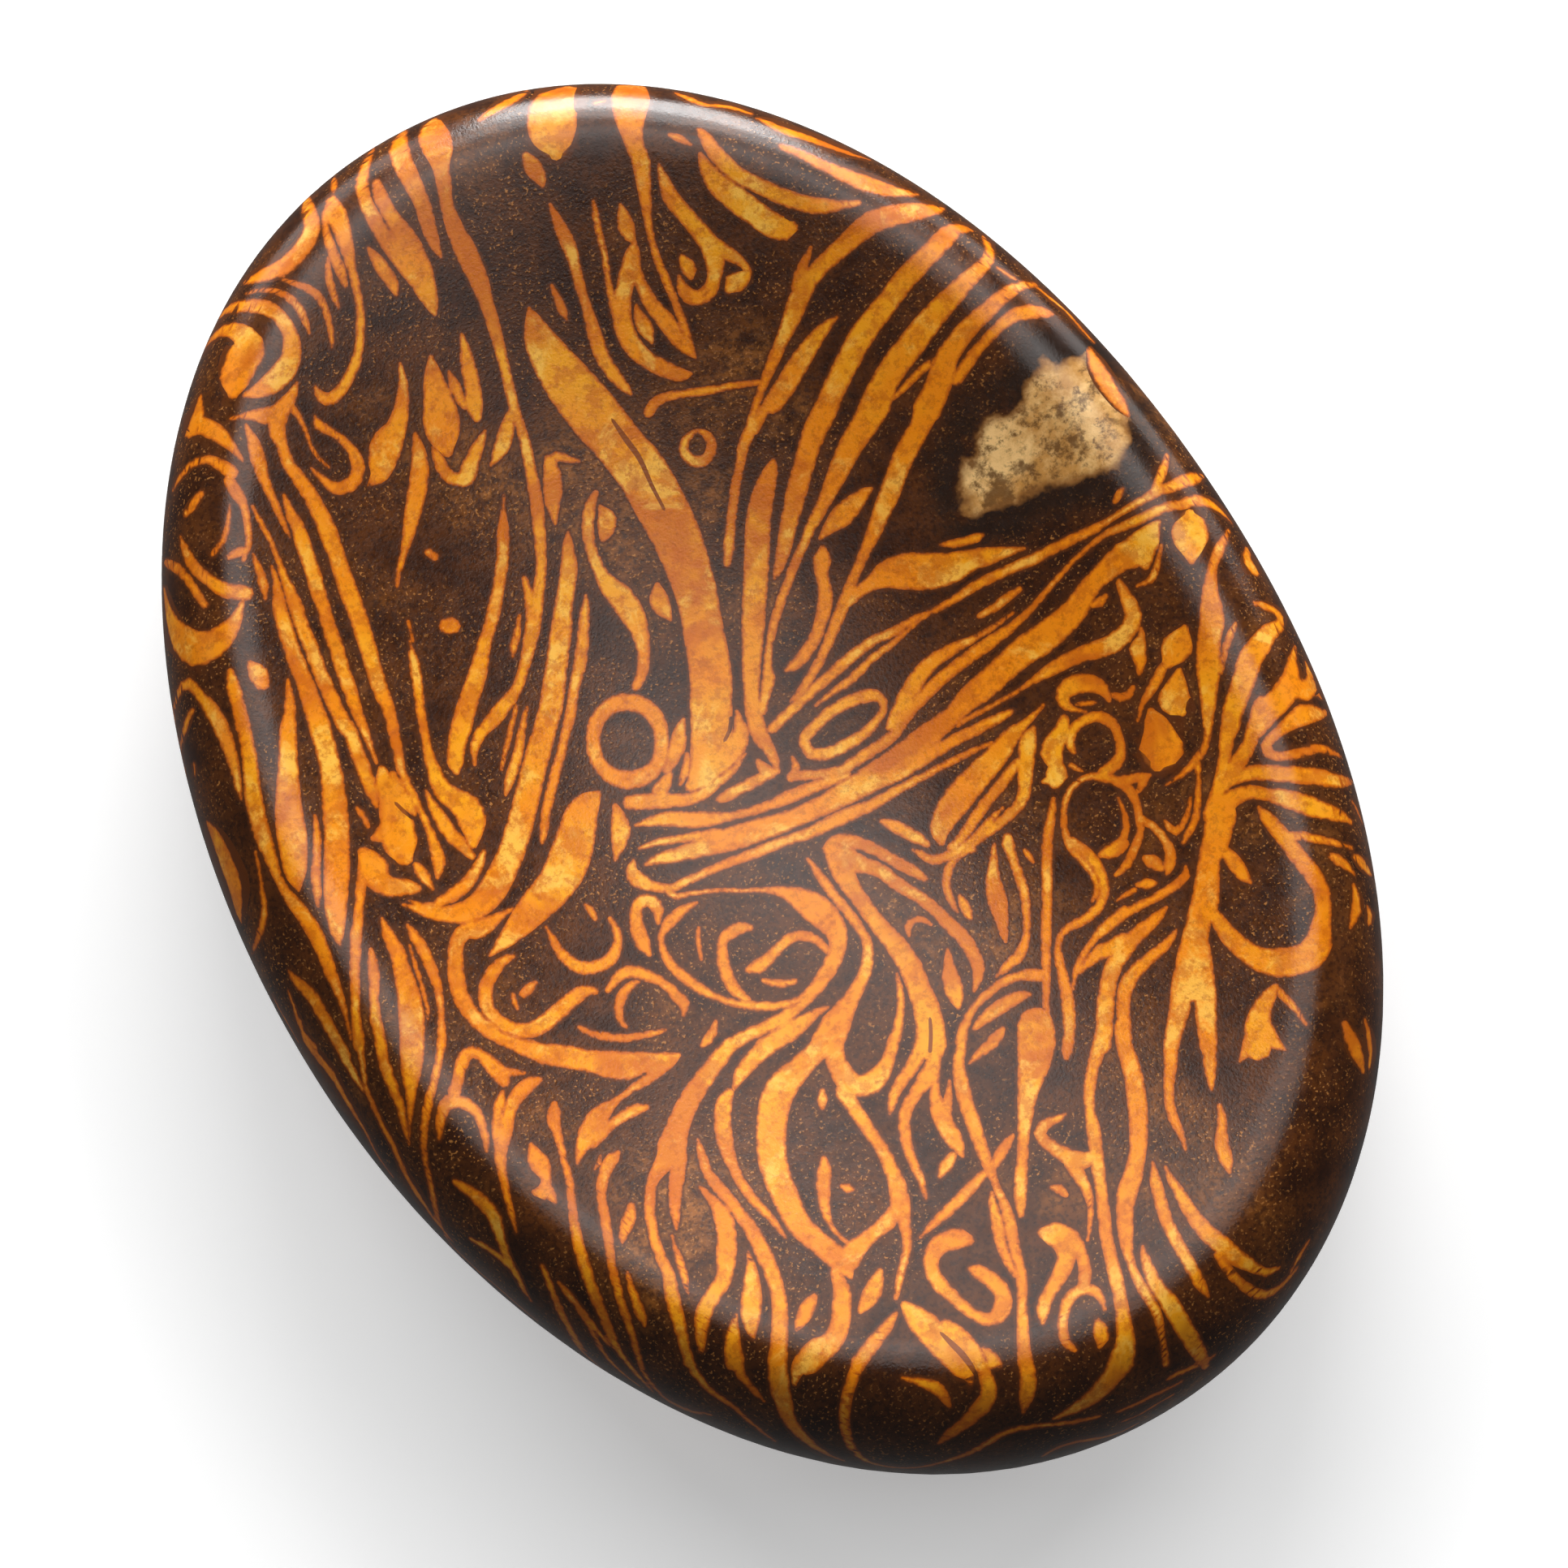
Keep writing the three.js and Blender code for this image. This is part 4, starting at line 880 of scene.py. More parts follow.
# %% Near hollow right
NEAR_HOLLOW_RIGHT = [
    [(1361, 1262, 17), (1355, 1287, 18), (1347, 1315, 15), (1342, 1342, 14), (1343, 1366, 12),
     (1347, 1391, 16), (1350, 1413, 16), (1353, 1440, 16), (1357, 1468, 14), (1360, 1495, 15),
     (1363, 1522, 15), (1368, 1545, 15), (1373, 1566, 17), (1378, 1588, 16), (1382, 1610, 16),
     (1385, 1632, 19), (1387, 1654, 23), (1384, 1680, 27)],
    [(1347, 1425, 14), (1335, 1430, 20), (1322, 1427, 20), (1308, 1421, 18), (1296, 1413, 16),
     (1285, 1404, 14), (1281, 1396, 14), (1286, 1387, 14), (1296, 1381, 10), (1306, 1377, 8),
     (1313, 1373, 3)],
    [(1320, 1432, 18), (1328, 1446, 16), (1336, 1460, 14), (1342, 1475, 10), (1344, 1490, 7),
     (1343, 1510, 5), (1340, 1528, 3)],
    [(1296, 1463, 5), (1305, 1465, 12), (1313, 1472, 6)],
    [(1284, 1519, 12), (1293, 1520, 26), (1305, 1523, 32), (1313, 1535, 28), (1314, 1550, 22),
     (1309, 1565, 20), (1302, 1578, 18), (1294, 1592, 16), (1287, 1605, 16), (1285, 1618, 14),
     (1285, 1630, 4)],
    [(1318, 1522, 20), (1328, 1534, 16), (1334, 1550, 14), (1337, 1568, 15), (1334, 1588, 14)],
    [(1361, 1613, 4), (1357, 1600, 9), (1350, 1592, 12), (1338, 1588, 14), (1325, 1593, 14),
     (1315, 1604, 14), (1311, 1618, 12), (1309, 1633, 12), (1311, 1647, 12), (1318, 1659, 10),
     (1325, 1664, 4)],
    [(1352, 1628, 8), (1356, 1638, 18), (1357, 1650, 16), (1355, 1659, 5)],
    [(1193, 1528, 14), (1183, 1526, 26), (1170, 1528, 26), (1158, 1534, 24), (1149, 1545, 20),
     (1147, 1558, 18), (1151, 1572, 18), (1161, 1586, 18), (1175, 1599, 16), (1190, 1612, 14),
     (1205, 1622, 14), (1218, 1626, 16), (1229, 1621, 20), (1236, 1608, 22), (1235, 1594, 20),
     (1227, 1582, 20), (1214, 1572, 18), (1203, 1566, 16), (1195, 1563, 6)],
    [(1028, 1566, 10), (1037, 1588, 20), (1037, 1610, 23), (1035, 1632, 23), (1026, 1651, 26),
     (1007, 1670, 28), (995, 1680, 28)],
    [(1084, 1567, 8), (1080, 1580, 18), (1075, 1592, 22), (1068, 1604, 18), (1060, 1615, 7)],
    [(1004, 1597, 6), (998, 1606, 16), (992, 1618, 18), (985, 1631, 12), (981, 1639, 3)],
    [(1104, 1618, 4), (1098, 1627, 10), (1089, 1640, 15), (1078, 1653, 17), (1067, 1667, 18),
     (1057, 1680, 18)],
    [(1115, 1608, 10), (1123, 1617, 22), (1135, 1629, 32), (1150, 1643, 36), (1165, 1658, 38),
     (1180, 1672, 38), (1188, 1680, 38)],
    [(1218, 1665, 5), (1222, 1680, 14)],
    [(1382, 1262, 17), (1385, 1287, 19), (1394, 1315, 22), (1399, 1342, 23), (1402, 1369, 23),
     (1403, 1396, 22), (1401, 1424, 20), (1396, 1448, 23), (1388, 1473, 24), (1386, 1495, 20),
     (1387, 1522, 18), (1390, 1544, 12), (1397, 1566, 10), (1408, 1588, 13), (1422, 1610, 12),
     (1429, 1632, 10), (1433, 1654, 7), (1437, 1680, 9)],
    [(1449, 1262, 22), (1443, 1287, 18), (1442, 1315, 15), (1440, 1342, 12), (1443, 1369, 12),
     (1448, 1383, 11), (1455, 1397, 8), (1461, 1416, 3)],
    [(1487, 1262, 24), (1490, 1287, 19), (1491, 1315, 14), (1492, 1331, 9), (1493, 1342, 3)],
    [(1550, 1262, 30), (1547, 1278, 28), (1540, 1290, 20), (1533, 1300, 10), (1528, 1307, 3)],
    [(1552, 1262, 28), (1561, 1276, 24), (1572, 1286, 14), (1583, 1293, 3)],
    [(1503, 1363, 6), (1505, 1375, 10), (1506, 1390, 12), (1505, 1405, 16), (1508, 1420, 17),
     (1512, 1433, 14), (1515, 1444, 4)],
    [(1420, 1432, 3), (1423, 1451, 12), (1428, 1473, 15), (1436, 1500, 15), (1446, 1522, 15),
     (1458, 1544, 15), (1470, 1566, 15), (1479, 1582, 14), (1488, 1597, 4)],
    [(1436, 1438, 3), (1443, 1453, 9), (1455, 1473, 14), (1468, 1495, 17), (1486, 1517, 21),
     (1504, 1533, 23), (1523, 1549, 21), (1543, 1560, 15), (1560, 1568, 10), (1576, 1562, 4)],
    [(1500, 1546, 8), (1510, 1560, 11), (1520, 1573, 12), (1532, 1584, 12), (1545, 1592, 14),
     (1558, 1596, 12), (1572, 1590, 10), (1585, 1578, 9), (1598, 1563, 7)],
    [(1408, 1536, 3), (1411, 1550, 11), (1418, 1571, 16), (1428, 1588, 18), (1440, 1604, 22),
     (1453, 1626, 23), (1466, 1648, 22), (1479, 1670, 18), (1486, 1684, 10)],
    [(1657, 1262, 8), (1664, 1278, 18), (1670, 1292, 22), (1676, 1306, 18), (1680, 1320, 6)],
    [(1682, 1258, 5), (1687, 1278, 12), (1689, 1298, 12), (1687, 1315, 6)],
]

# %% Near edge
NEAR_EDGE = [
    [(668, 1560, 4), (676, 1577, 8), (687, 1609, 10), (698, 1631, 11), (712, 1658, 9), (728, 1675, 7),
     (747, 1691, 3)],
    [(690, 1583, 3), (700, 1596, 7), (712, 1610, 9), (728, 1637, 9), (744, 1667, 8), (766, 1691, 6),
     (788, 1708, 3)],
    [(727, 1580, 14), (736, 1603, 14), (745, 1626, 13), (755, 1652, 12), (770, 1675, 10),
     (789, 1698, 8), (805, 1715, 4)],
    [(769, 1615, 10), (777, 1637, 9), (783, 1659, 8), (791, 1686, 7), (801, 1703, 6), (822, 1725, 8),
     (848, 1738, 10), (876, 1743, 4)],
    [(829, 1604, 17), (838, 1632, 14), (846, 1667, 12), (857, 1692, 12), (876, 1714, 10),
     (903, 1733, 8), (930, 1757, 7), (955, 1776, 4)],
    [(903, 1660, 19), (908, 1675, 17), (912, 1692, 12), (927, 1711, 8), (941, 1726, 4)],
    [(960, 1660, 21), (958, 1680, 24), (960, 1704, 25), (965, 1728, 22), (973, 1750, 19),
     (986, 1767, 17), (1003, 1782, 14), (1024, 1794, 8), (1040, 1800, 4)],
    [(1010, 1660, 26), (1001, 1667, 26), (989, 1678, 22), (981, 1692, 14), (979, 1705, 5)],
    [(1062, 1673, 16), (1052, 1695, 14), (1045, 1715, 13), (1041, 1738, 13), (1041, 1758, 12),
     (1047, 1778, 11), (1057, 1793, 10), (1075, 1803, 8), (1100, 1808, 7), (1130, 1808, 6),
     (1160, 1802, 7), (1185, 1794, 8), (1205, 1785, 9), (1225, 1773, 9), (1245, 1763, 8),
     (1270, 1758, 7), (1300, 1755, 6), (1330, 1751, 7), (1355, 1745, 4)],
    [(1170, 1660, 36), (1181, 1674, 30), (1190, 1689, 18), (1196, 1703, 6)],
    [(1165, 1632, 14), (1180, 1643, 18), (1193, 1657, 19), (1204, 1672, 18), (1211, 1688, 16),
     (1217, 1704, 18), (1218, 1720, 20), (1210, 1733, 20), (1198, 1745, 18), (1184, 1757, 14),
     (1170, 1767, 12), (1157, 1778, 5)],
    [(1112, 1698, 3), (1130, 1702, 9), (1145, 1706, 14), (1158, 1714, 15), (1166, 1725, 10),
     (1170, 1733, 4)],
    [(1212, 1663, 8), (1222, 1672, 14), (1231, 1681, 8)],
    [(1263, 1670, 16), (1266, 1690, 19), (1267, 1705, 20), (1265, 1719, 18), (1262, 1732, 10),
     (1261, 1740, 4)],
    [(1385, 1660, 24), (1381, 1675, 27), (1373, 1692, 27), (1361, 1708, 24), (1346, 1722, 20),
     (1329, 1733, 16), (1312, 1742, 10), (1299, 1748, 4)],
    [(1285, 1794, 5), (1305, 1783, 8), (1330, 1776, 9), (1355, 1772, 9), (1380, 1765, 9),
     (1402, 1754, 8)],
]

# %% Small ones between the others
EXTRA = [
    [(838, 893, 6), (840, 908, 11), (836, 925, 14), (829, 940, 10), (822, 955, 5)],
    [(846, 930, 6), (845, 946, 9), (842, 957, 8), (838, 966, 4)],
    [(555, 1104, 3), (548, 1112, 6), (530, 1117, 9), (512, 1113, 5), (504, 1110, 2)],
    [(505, 790, 3), (507, 797, 4), (509, 806, 6)],
    [(1440, 1699, 7), (1452, 1692, 8), (1468, 1686, 8), (1483, 1679, 6), (1496, 1670, 4)],
    [(1376, 1740, 5), (1398, 1731, 6), (1420, 1720, 7), (1442, 1710, 6), (1456, 1702, 4)],
    [(1382, 1752, 4), (1402, 1744, 4), (1424, 1731, 4), (1446, 1718, 3)],
    [(1591, 1567, 6), (1599, 1552, 7), (1606, 1540, 6), (1613, 1528, 3)],
    [(740, 1424, 2), (738, 1433, 5), (733, 1441, 2)],
]

# %% Cracks of dark rock across strands, and the pale patch
CRACKS = [
    [(755, 518, 2), (771, 541, 5), (785, 560, 5), (793, 575, 4), (803, 598, 3), (818, 627, 2)],
    [(488, 990, 2), (497, 999, 3), (508, 1008, 2)],
    [(901, 885, 3), (899, 900, 3), (893, 912, 2)],
    [(1146, 1256, 2), (1147, 1275, 3), (1146, 1295, 3)],
    [(1160, 1643, 2), (1172, 1655, 5), (1185, 1668, 6), (1197, 1684, 5), (1204, 1697, 2)],
]
PATCH = [(1182, 635), (1181, 611), (1180, 589), (1180, 570), (1184, 562), (1197, 559), (1200, 535),
         (1205, 521), (1219, 514), (1236, 513), (1249, 502), (1260, 484), (1268, 467), (1282, 453),
         (1279, 442), (1285, 436), (1298, 440), (1304, 448), (1320, 442), (1334, 437), (1345, 430),
         (1353, 442), (1364, 462), (1376, 486), (1390, 508), (1391, 516), (1388, 524), (1395, 534),
         (1396, 546), (1391, 559), (1381, 573), (1370, 583), (1342, 588), (1317, 595), (1293, 603),
         (1265, 612), (1252, 622), (1233, 630), (1211, 633), (1192, 638)]
ZONES = (FAR_LEFT_RIM, FAR_RIM, FAR_RIGHT_RIM, LEFT_SIDE, FAN, MIDDLE_RIGHT, RIGHT_RIM, NEAR_LEFT,
         CENTRE, LOWER_RIGHT, RIGHT_LOWER, NEAR_LEFT_EDGE, NEAR_HOLLOW_LEFT, NEAR_HOLLOW_MIDDLE,
         NEAR_HOLLOW_RIGHT, NEAR_EDGE, EXTRA)

# %% [markdown]
# ## From strokes to outlines
# A smooth curve runs through a stroke's points, and the width goes along with it. The outline follows on
# both sides at half the width. A thin end becomes a point, a thick end a half circle. A curve object
# with a bevel would do the same in the air, but these outlines have to lie in the stone's surface. Every
# stroke is a little wider than it was drawn, because the eye reads the soft border too far in.

# %% Smooth path and its outline
PIXEL_STEP = 7
WIDENING = 2.0
THINNEST_BRUSH = 1.5
POINTED_BELOW = 2.5
POINT_LENGTH = 1.6


def smooth_path(points):
    path = np.array(points, float)
    before = np.vstack([2 * path[0] - path[1], path[:-1]])
    after = np.vstack([path[1:], 2 * path[-1] - path[-2]])
    if np.allclose(path[0, :2], path[-1, :2]):
        before[0] = path[-2]
        after[-1] = path[1]
    slopes = (after - before) / 2
    pieces = []
    for index in range(len(path) - 1):
        start, end = path[index], path[index + 1]
        count = max(1, round(math.dist(start[:2], end[:2]) / PIXEL_STEP))
        for part in np.arange(count) / count:
            blend = part * part * (3 - 2 * part)
            bend = part * (1 - part) * ((1 - part) * slopes[index] - part * slopes[index + 1])
            pieces.append(start * (1 - blend) + end * blend + bend)
    pieces.append(path[-1])
    result = np.array(pieces)
    result[:, 2] = np.maximum(result[:, 2] + WIDENING, THINNEST_BRUSH)
    return result


def round_end(centre, half, direction):
    side = np.array([-direction[1], direction[0]])
    if half < POINTED_BELOW:
        return [centre + direction * half * POINT_LENGTH]
    return [centre + half * (math.cos(turn) * side + math.sin(turn) * direction)
            for turn in (math.pi * 0.25, math.pi * 0.5, math.pi * 0.75)]


def stroke_outline(path):
    along = np.gradient(path[:, :2], axis=0)
    along /= np.maximum(np.linalg.norm(along, axis=1, keepdims=True), TINY)
    side = np.stack([-along[:, 1], along[:, 0]], axis=1) * path[:, 2:3] / 2
    left = path[:, :2] + side
    right = path[:, :2] - side
    last = round_end(path[-1, :2], path[-1, 2] / 2, along[-1])
    first = round_end(path[0, :2], path[0, 2] / 2, -along[0])
    return np.vstack([left, last, right[::-1], first])


# %% Lay every drawn stroke on the stone
def stone_points(pixels):
    return np.array([pixel_to_stone(x, y) for x, y in pixels])


class Stroke:
    def __init__(self, outline, middle, half):
        self.outline = outline
        self.middle = middle
        self.half = half


def drawn_stroke(points):
    path = smooth_path(points)
    outline = stone_points(stroke_outline(path))
    middle = stone_points(path[:, :2])
    distance = (Vector(surface(*middle[0])) - eye).length
    half = path[:, 2] / 2 * SENSOR / LENS / PICTURE * distance
    return Stroke(outline, middle, half)


strands = [drawn_stroke(points) for zone in ZONES for points in zone]
cracks = [drawn_stroke(points) for points in CRACKS]
patch_path = smooth_path([(x, y, 0) for x, y in PATCH + PATCH[:1]])
patch_outline = stone_points(patch_path[:, :2])
print("strands drawn:", len(strands))

# %% [markdown]
# ## The side that the picture doesn't show
# The same rock goes on underneath, where nothing can be read from the picture. Strands could be drawn
# there by hand too, but a rule makes them like the others and unlike each other. Each starts at a random
# spot, follows a slow flow over the surface, and stops before it meets another one or comes into the
# picture's view. Near the widest line the flow leads over the edge, as the drawn strands do. The random
# numbers and the noise both get a fixed seed. Without one, Blender takes the clock for the noise, and
# every run would grow other strands.

# %% Where there is room
GAP = 0.22 * MM
CELL = 1.2 * MM
NEIGHBOURS = [(x, y, z) for x in (-1, 0, 1) for y in (-1, 0, 1) for z in (-1, 0, 1)]
taken = {}


def cell_of(place):
    return tuple(int(math.floor(value / CELL)) for value in place)


def take_room(place, half, name):
    taken.setdefault(cell_of(place), []).append((place, half, name))


def has_room(place, half, name):
    home = cell_of(place)
    for x, y, z in NEIGHBOURS:
        for other, other_half, other_name in taken.get((home[0] + x, home[1] + y, home[2] + z), ()):
            if other_name != name and math.dist(place, other) < half + other_half + GAP:
                return False
    return True


for number, strand in enumerate(strands):
    for place, half in zip(surface(strand.middle[:, 0], strand.middle[:, 1]), strand.half):
        take_room(place, half, number)
print("cells taken by drawn strands:", len(taken))


# %% Direction of the flow
SWIRL_SCALE = 95
SWIRL_SHIFT = Vector((3.1, 7.7, 1.3))
RIPPLE_SCALE = 260
RIPPLE_SHIFT = Vector((9.2, 0.4, 5.5))
RIPPLE_SHARE = 0.45
EDGE_PUSH = 0.55
NOISE_SEED = 11
noise.seed_set(NOISE_SEED)


def flow(place, round_way, turn_way, edge_share):
    swirl = noise.noise_vector(Vector(place) * SWIRL_SCALE + SWIRL_SHIFT)
    ripple = noise.noise_vector(Vector(place) * RIPPLE_SCALE + RIPPLE_SHIFT) * RIPPLE_SHARE
    push = swirl + ripple
    across = push.dot(Vector(round_way))
    over = push.dot(Vector(turn_way)) + EDGE_PUSH * edge_share
    length = math.hypot(across, over) or 1
    return across / length, over / length


middle_flow = flow(surface(0.0, math.pi), (1, 0, 0), (0, 1, 0), 0)
print("the flow under the stone's middle:", [round(value, 2) for value in middle_flow])

# %% Trail of a strand
FOOT_CLEAR = 2.2 * MM
STEP = 0.3 * MM
MOST_STEPS = 70
IN_VIEW = 0.004 * CAMERA_AWAY
EDGE_REACH = 0.7
SHARPEST_BEND = 0.6


def grow(angle, turn, name, half, heading):
    trail = []
    last = None
    for _ in range(MOST_STEPS):
        place = surface(angle, turn)
        normal = surface_normal(angle, turn)
        in_view = normal.dot(np.array(eye) - place) > IN_VIEW
        on_foot = math.hypot(place[0], place[1]) < FOOT_CLEAR
        if in_view or on_foot or not has_room(tuple(place), half, name):
            break
        trail.append((angle, turn))
        round_step, turn_step = surface_slopes(angle, turn)
        round_size = np.linalg.norm(round_step)
        turn_size = np.linalg.norm(turn_step)
        edge_share = max(0.0, 1 - abs(turn - math.pi / 2) / EDGE_REACH)
        across, over = flow(place, round_step / round_size, turn_step / turn_size, edge_share)
        if last and across * last[0] + over * last[1] < SHARPEST_BEND:
            break
        last = across, over
        angle += heading * across * STEP / round_size
        turn += heading * over * STEP / turn_size
    return trail


# %% Outline of a grown strand
TAPER_POWER = 0.6
WAVE_SCALE = 400
WAVE_SHARE = 0.45


def grown_stroke(trail, half, name):
    path = np.array(trail)
    share = np.linspace(0, 1, len(path))
    taper = np.sin(np.clip(share * 1.04 - 0.02, 0.01, 0.99) * math.pi) ** TAPER_POWER
    places = surface(path[:, 0], path[:, 1])
    wave = np.array([noise.noise(Vector(place) * WAVE_SCALE) for place in places])
    halves = half * taper * (1 + WAVE_SHARE * wave)
    round_step, turn_step = surface_slopes(path[:, 0], path[:, 1])
    round_size = np.linalg.norm(round_step, axis=1)
    turn_size = np.linalg.norm(turn_step, axis=1)
    along = np.gradient(path, axis=0) * np.stack([round_size, turn_size], axis=1)
    along /= np.maximum(np.linalg.norm(along, axis=1, keepdims=True), TINY)
    side = np.stack([-along[:, 1] / round_size, along[:, 0] / turn_size], axis=1) * halves[:, None]
    for place, width in zip(places, halves):
        take_room(tuple(place), width, name)
    return Stroke(np.vstack([path + side, (path - side)[::-1]]), path, halves)


# %% Grow strands out of sight
SEED = 11
TRIES = 620
BROAD_TRIES = 160
NARROW_SHARE = 0.5
AREA_REACH = 1.15
HALF_WIDTHS = (0.09, 0.55)
LEAST_POINTS = 6
LEAST_LENGTH = 6

chance = np.random.default_rng(SEED)
grown = []
for number in range(TRIES):
    angle = chance.uniform(-math.pi, math.pi)
    turn = math.pi - math.acos(1 - chance.uniform(0.0, AREA_REACH))
    half = chance.uniform(*HALF_WIDTHS) * MM * (1.0 if number < BROAD_TRIES else NARROW_SHARE)
    name = "grown", number
    forward = grow(angle, turn, name, half, 1)
    backward = grow(angle, turn, name, half, -1)
    trail = backward[:0:-1] + forward
    if len(trail) * STEP > LEAST_LENGTH * half and len(trail) > LEAST_POINTS:
        grown.append(grown_stroke(trail, half, name))
print("strands grown out of sight:", len(grown))

# %% [markdown]
# ## Cutting the sheet
# A strand's border has to stay sharp, so it has to run along edges of the mesh. No modelling operator
# cuts a sheet along hundreds of crossing outlines, so the cutting is left to Blender's own
# triangulation: it takes points and edges on the map and gives back triangles that follow every edge.
# Points between the strokes keep the triangles small: close together on the rim, where the stone bends,
# and wider apart in the hollow. Each stroke also gets a row of points just outside its border, one just
# inside it and one along its middle, because the rock darkens at a border and the colours need points
# there. The pale patch gets a row on both sides of its border.

# %% Points and edges on the map
BORDER = 0.1 * MM
PATCH_BORDER = 0.2 * MM
TURN_END = math.pi - 0.07
map_points = []
map_edges = []


def add_loop(stone_outline):
    loop = to_map(stone_outline[:, 0], stone_outline[:, 1])
    start = len(map_points)
    count = len(loop)
    map_points.extend(loop)
    map_edges.extend((start + index, start + (index + 1) % count) for index in range(count))
    return loop


def widened(outline, amount):
    round_step, turn_step = surface_slopes(outline[:, 0], outline[:, 1])
    size = np.stack([np.linalg.norm(round_step, axis=1), np.linalg.norm(turn_step, axis=1)], axis=1)
    ahead = (np.roll(outline, -1, axis=0) - np.roll(outline, 1, axis=0)) * size
    ahead /= np.maximum(np.linalg.norm(ahead, axis=1, keepdims=True), TINY)
    out = np.stack([ahead[:, 1], -ahead[:, 0]], axis=1) / size
    return outline + out * amount


loops = [add_loop(stroke.outline) for stroke in strands + grown]
crack_loops = [add_loop(stroke.outline) for stroke in cracks]
patch_loop = add_loop(patch_outline)
print("points on outlines:", len(map_points))

# %% Inside or outside an outline
def inside(points, loop):
    low = loop.min(axis=0)
    high = loop.max(axis=0)
    near = np.flatnonzero(np.all((points >= low) & (points <= high), axis=1))
    turns = np.zeros(len(near), int)
    x, y = points[near, 0], points[near, 1]
    for start, end in zip(loop, np.roll(loop, -1, axis=0)):
        left_of = (end[0] - start[0]) * (y - start[1]) - (x - start[0]) * (end[1] - start[1])
        turns += (start[1] <= y) & (end[1] > y) & (left_of > 0)
        turns -= (start[1] > y) & (end[1] <= y) & (left_of < 0)
    return near[turns != 0]


def inside_any(points, some_loops):
    found = np.zeros(len(points), bool)
    for loop in some_loops:
        found[inside(points, loop)] = True
    return found


# %% Rows of points beside the strands
ROW_CLEAR = 0.05

beside = []
for stroke in strands + grown:
    outer_row = widened(stroke.outline, BORDER)
    beside.append(outer_row[::2])
    beside.append(widened(stroke.outline, -BORDER))
    beside.append(stroke.middle)
beside.append(widened(patch_outline, PATCH_BORDER))
beside.append(widened(patch_outline, -PATCH_BORDER))
beside = np.vstack(beside)
beside = beside[beside[:, 1] < TURN_END - ROW_CLEAR]
print("points beside the strands:", len(beside))

# %% Rings of points between the strands
RIM_TURNS = (0.85, 2.0)
RIM_SPACING = 0.42 * MM
HOLLOW_SPACING = 0.75 * MM
LAST_RING = 16
FIRST_TURN = 0.02
END_CLEAR = 0.03
LENGTH_SAMPLES = 24
FEWEST = 8
SLOPE_ANGLE = 0.6

between = []
turn = FIRST_TURN
row = 0
while turn < TURN_END - END_CLEAR:
    on_rim = RIM_TURNS[0] < turn < RIM_TURNS[1]
    spacing = RIM_SPACING if on_rim else HOLLOW_SPACING
    ring = surface(np.linspace(0, 2 * math.pi, LENGTH_SAMPLES, endpoint=False), turn)
    length = np.linalg.norm(np.roll(ring, -1, axis=0) - ring, axis=1).sum()
    count = max(FEWEST, round(length / spacing))
    angles = (np.arange(count) + 0.5 * (row % 2)) * 2 * math.pi / count
    between.append(np.stack([angles, np.full(count, turn)], axis=1))
    turn += spacing / np.linalg.norm(surface_slopes(SLOPE_ANGLE, turn)[1])
    row += 1
last_angles = np.arange(LAST_RING) * 2 * math.pi / LAST_RING
between.append(np.stack([last_angles, np.full(LAST_RING, TURN_END)], axis=1))
free = np.vstack([beside, *between])
free_map = to_map(free[:, 0], free[:, 1])
print("points beside and between:", len(free_map))

# %% Triangles
ALL_TRIANGLES = 0
MERGE_BELOW = 1e-6

sheet_points = [Vector(point) for point in (*map_points, *free_map)]
cut = delaunay_2d_cdt(sheet_points, map_edges, [], ALL_TRIANGLES, MERGE_BELOW)
sheet = np.array([point[:] for point in cut[0]])
triangles = np.array(cut[2])
print("triangles:", len(triangles))

# %% Which triangle is what
centres = sheet[triangles].mean(axis=1)
is_strand = inside_any(centres, loops) & ~inside_any(centres, crack_loops)
in_patch = inside_any(sheet, [patch_loop])
print("triangles in strands:", int(is_strand.sum()))
print("points in the pale patch:", int(in_patch.sum()))

# %% [markdown]
# ## Bending the sheet over the stone
# Every point of the sheet goes back to its angle and turn, and so onto the stone. The sheet ends just
# short of the middle of the resting spot, and an operator closes that small hole. The faces inside
# strands are marked, and each point gets its distance from the pale patch's border, above 0 inside it.
# Two attributes hold this for the colours: a picture on the surface would do it too, but would blur
# close up.

# %% Stone
PATCH_REACH = 3
mesh = bpy.data.meshes.new("worry_stone")
angles, turns = from_map(sheet)
places = surface(angles, turns)
shell = bmesh.new()
strand_mark = shell.faces.layers.float.new("strand")
patch_mark = shell.verts.layers.float.new("patch")
corners = [shell.verts.new(place) for place in places]
rim_of_patch = surface(patch_outline[:, 0], patch_outline[:, 1])
for corner, place, is_in in zip(corners, places, in_patch):
    gap = np.linalg.norm(rim_of_patch - place, axis=1).min() / MM
    corner[patch_mark] = min(gap, PATCH_REACH) if is_in else -min(gap, PATCH_REACH)
for corner_ids, strand_here in zip(triangles, is_strand):
    face = shell.faces.new([corners[index] for index in corner_ids])
    face[strand_mark] = float(strand_here)
bmesh.ops.delete(shell, geom=[vert for vert in shell.verts if not vert.link_faces], context="VERTS")
bmesh.ops.holes_fill(shell, edges=[edge for edge in shell.edges if edge.is_boundary], sides=0)
bmesh.ops.triangulate(shell, faces=[face for face in shell.faces if len(face.verts) > 3])
bmesh.ops.recalc_face_normals(shell, faces=shell.faces)
for face in shell.faces:
    face.smooth = True
print("open edges:", sum(not edge.is_manifold for edge in shell.edges))
shell.to_mesh(mesh)
shell.free()
ray_grid.free()
stone = bpy.data.objects.new("jasper_stone", mesh)
bpy.context.scene.collection.objects.link(stone)
print("triangles in the stone:", len(mesh.polygons))

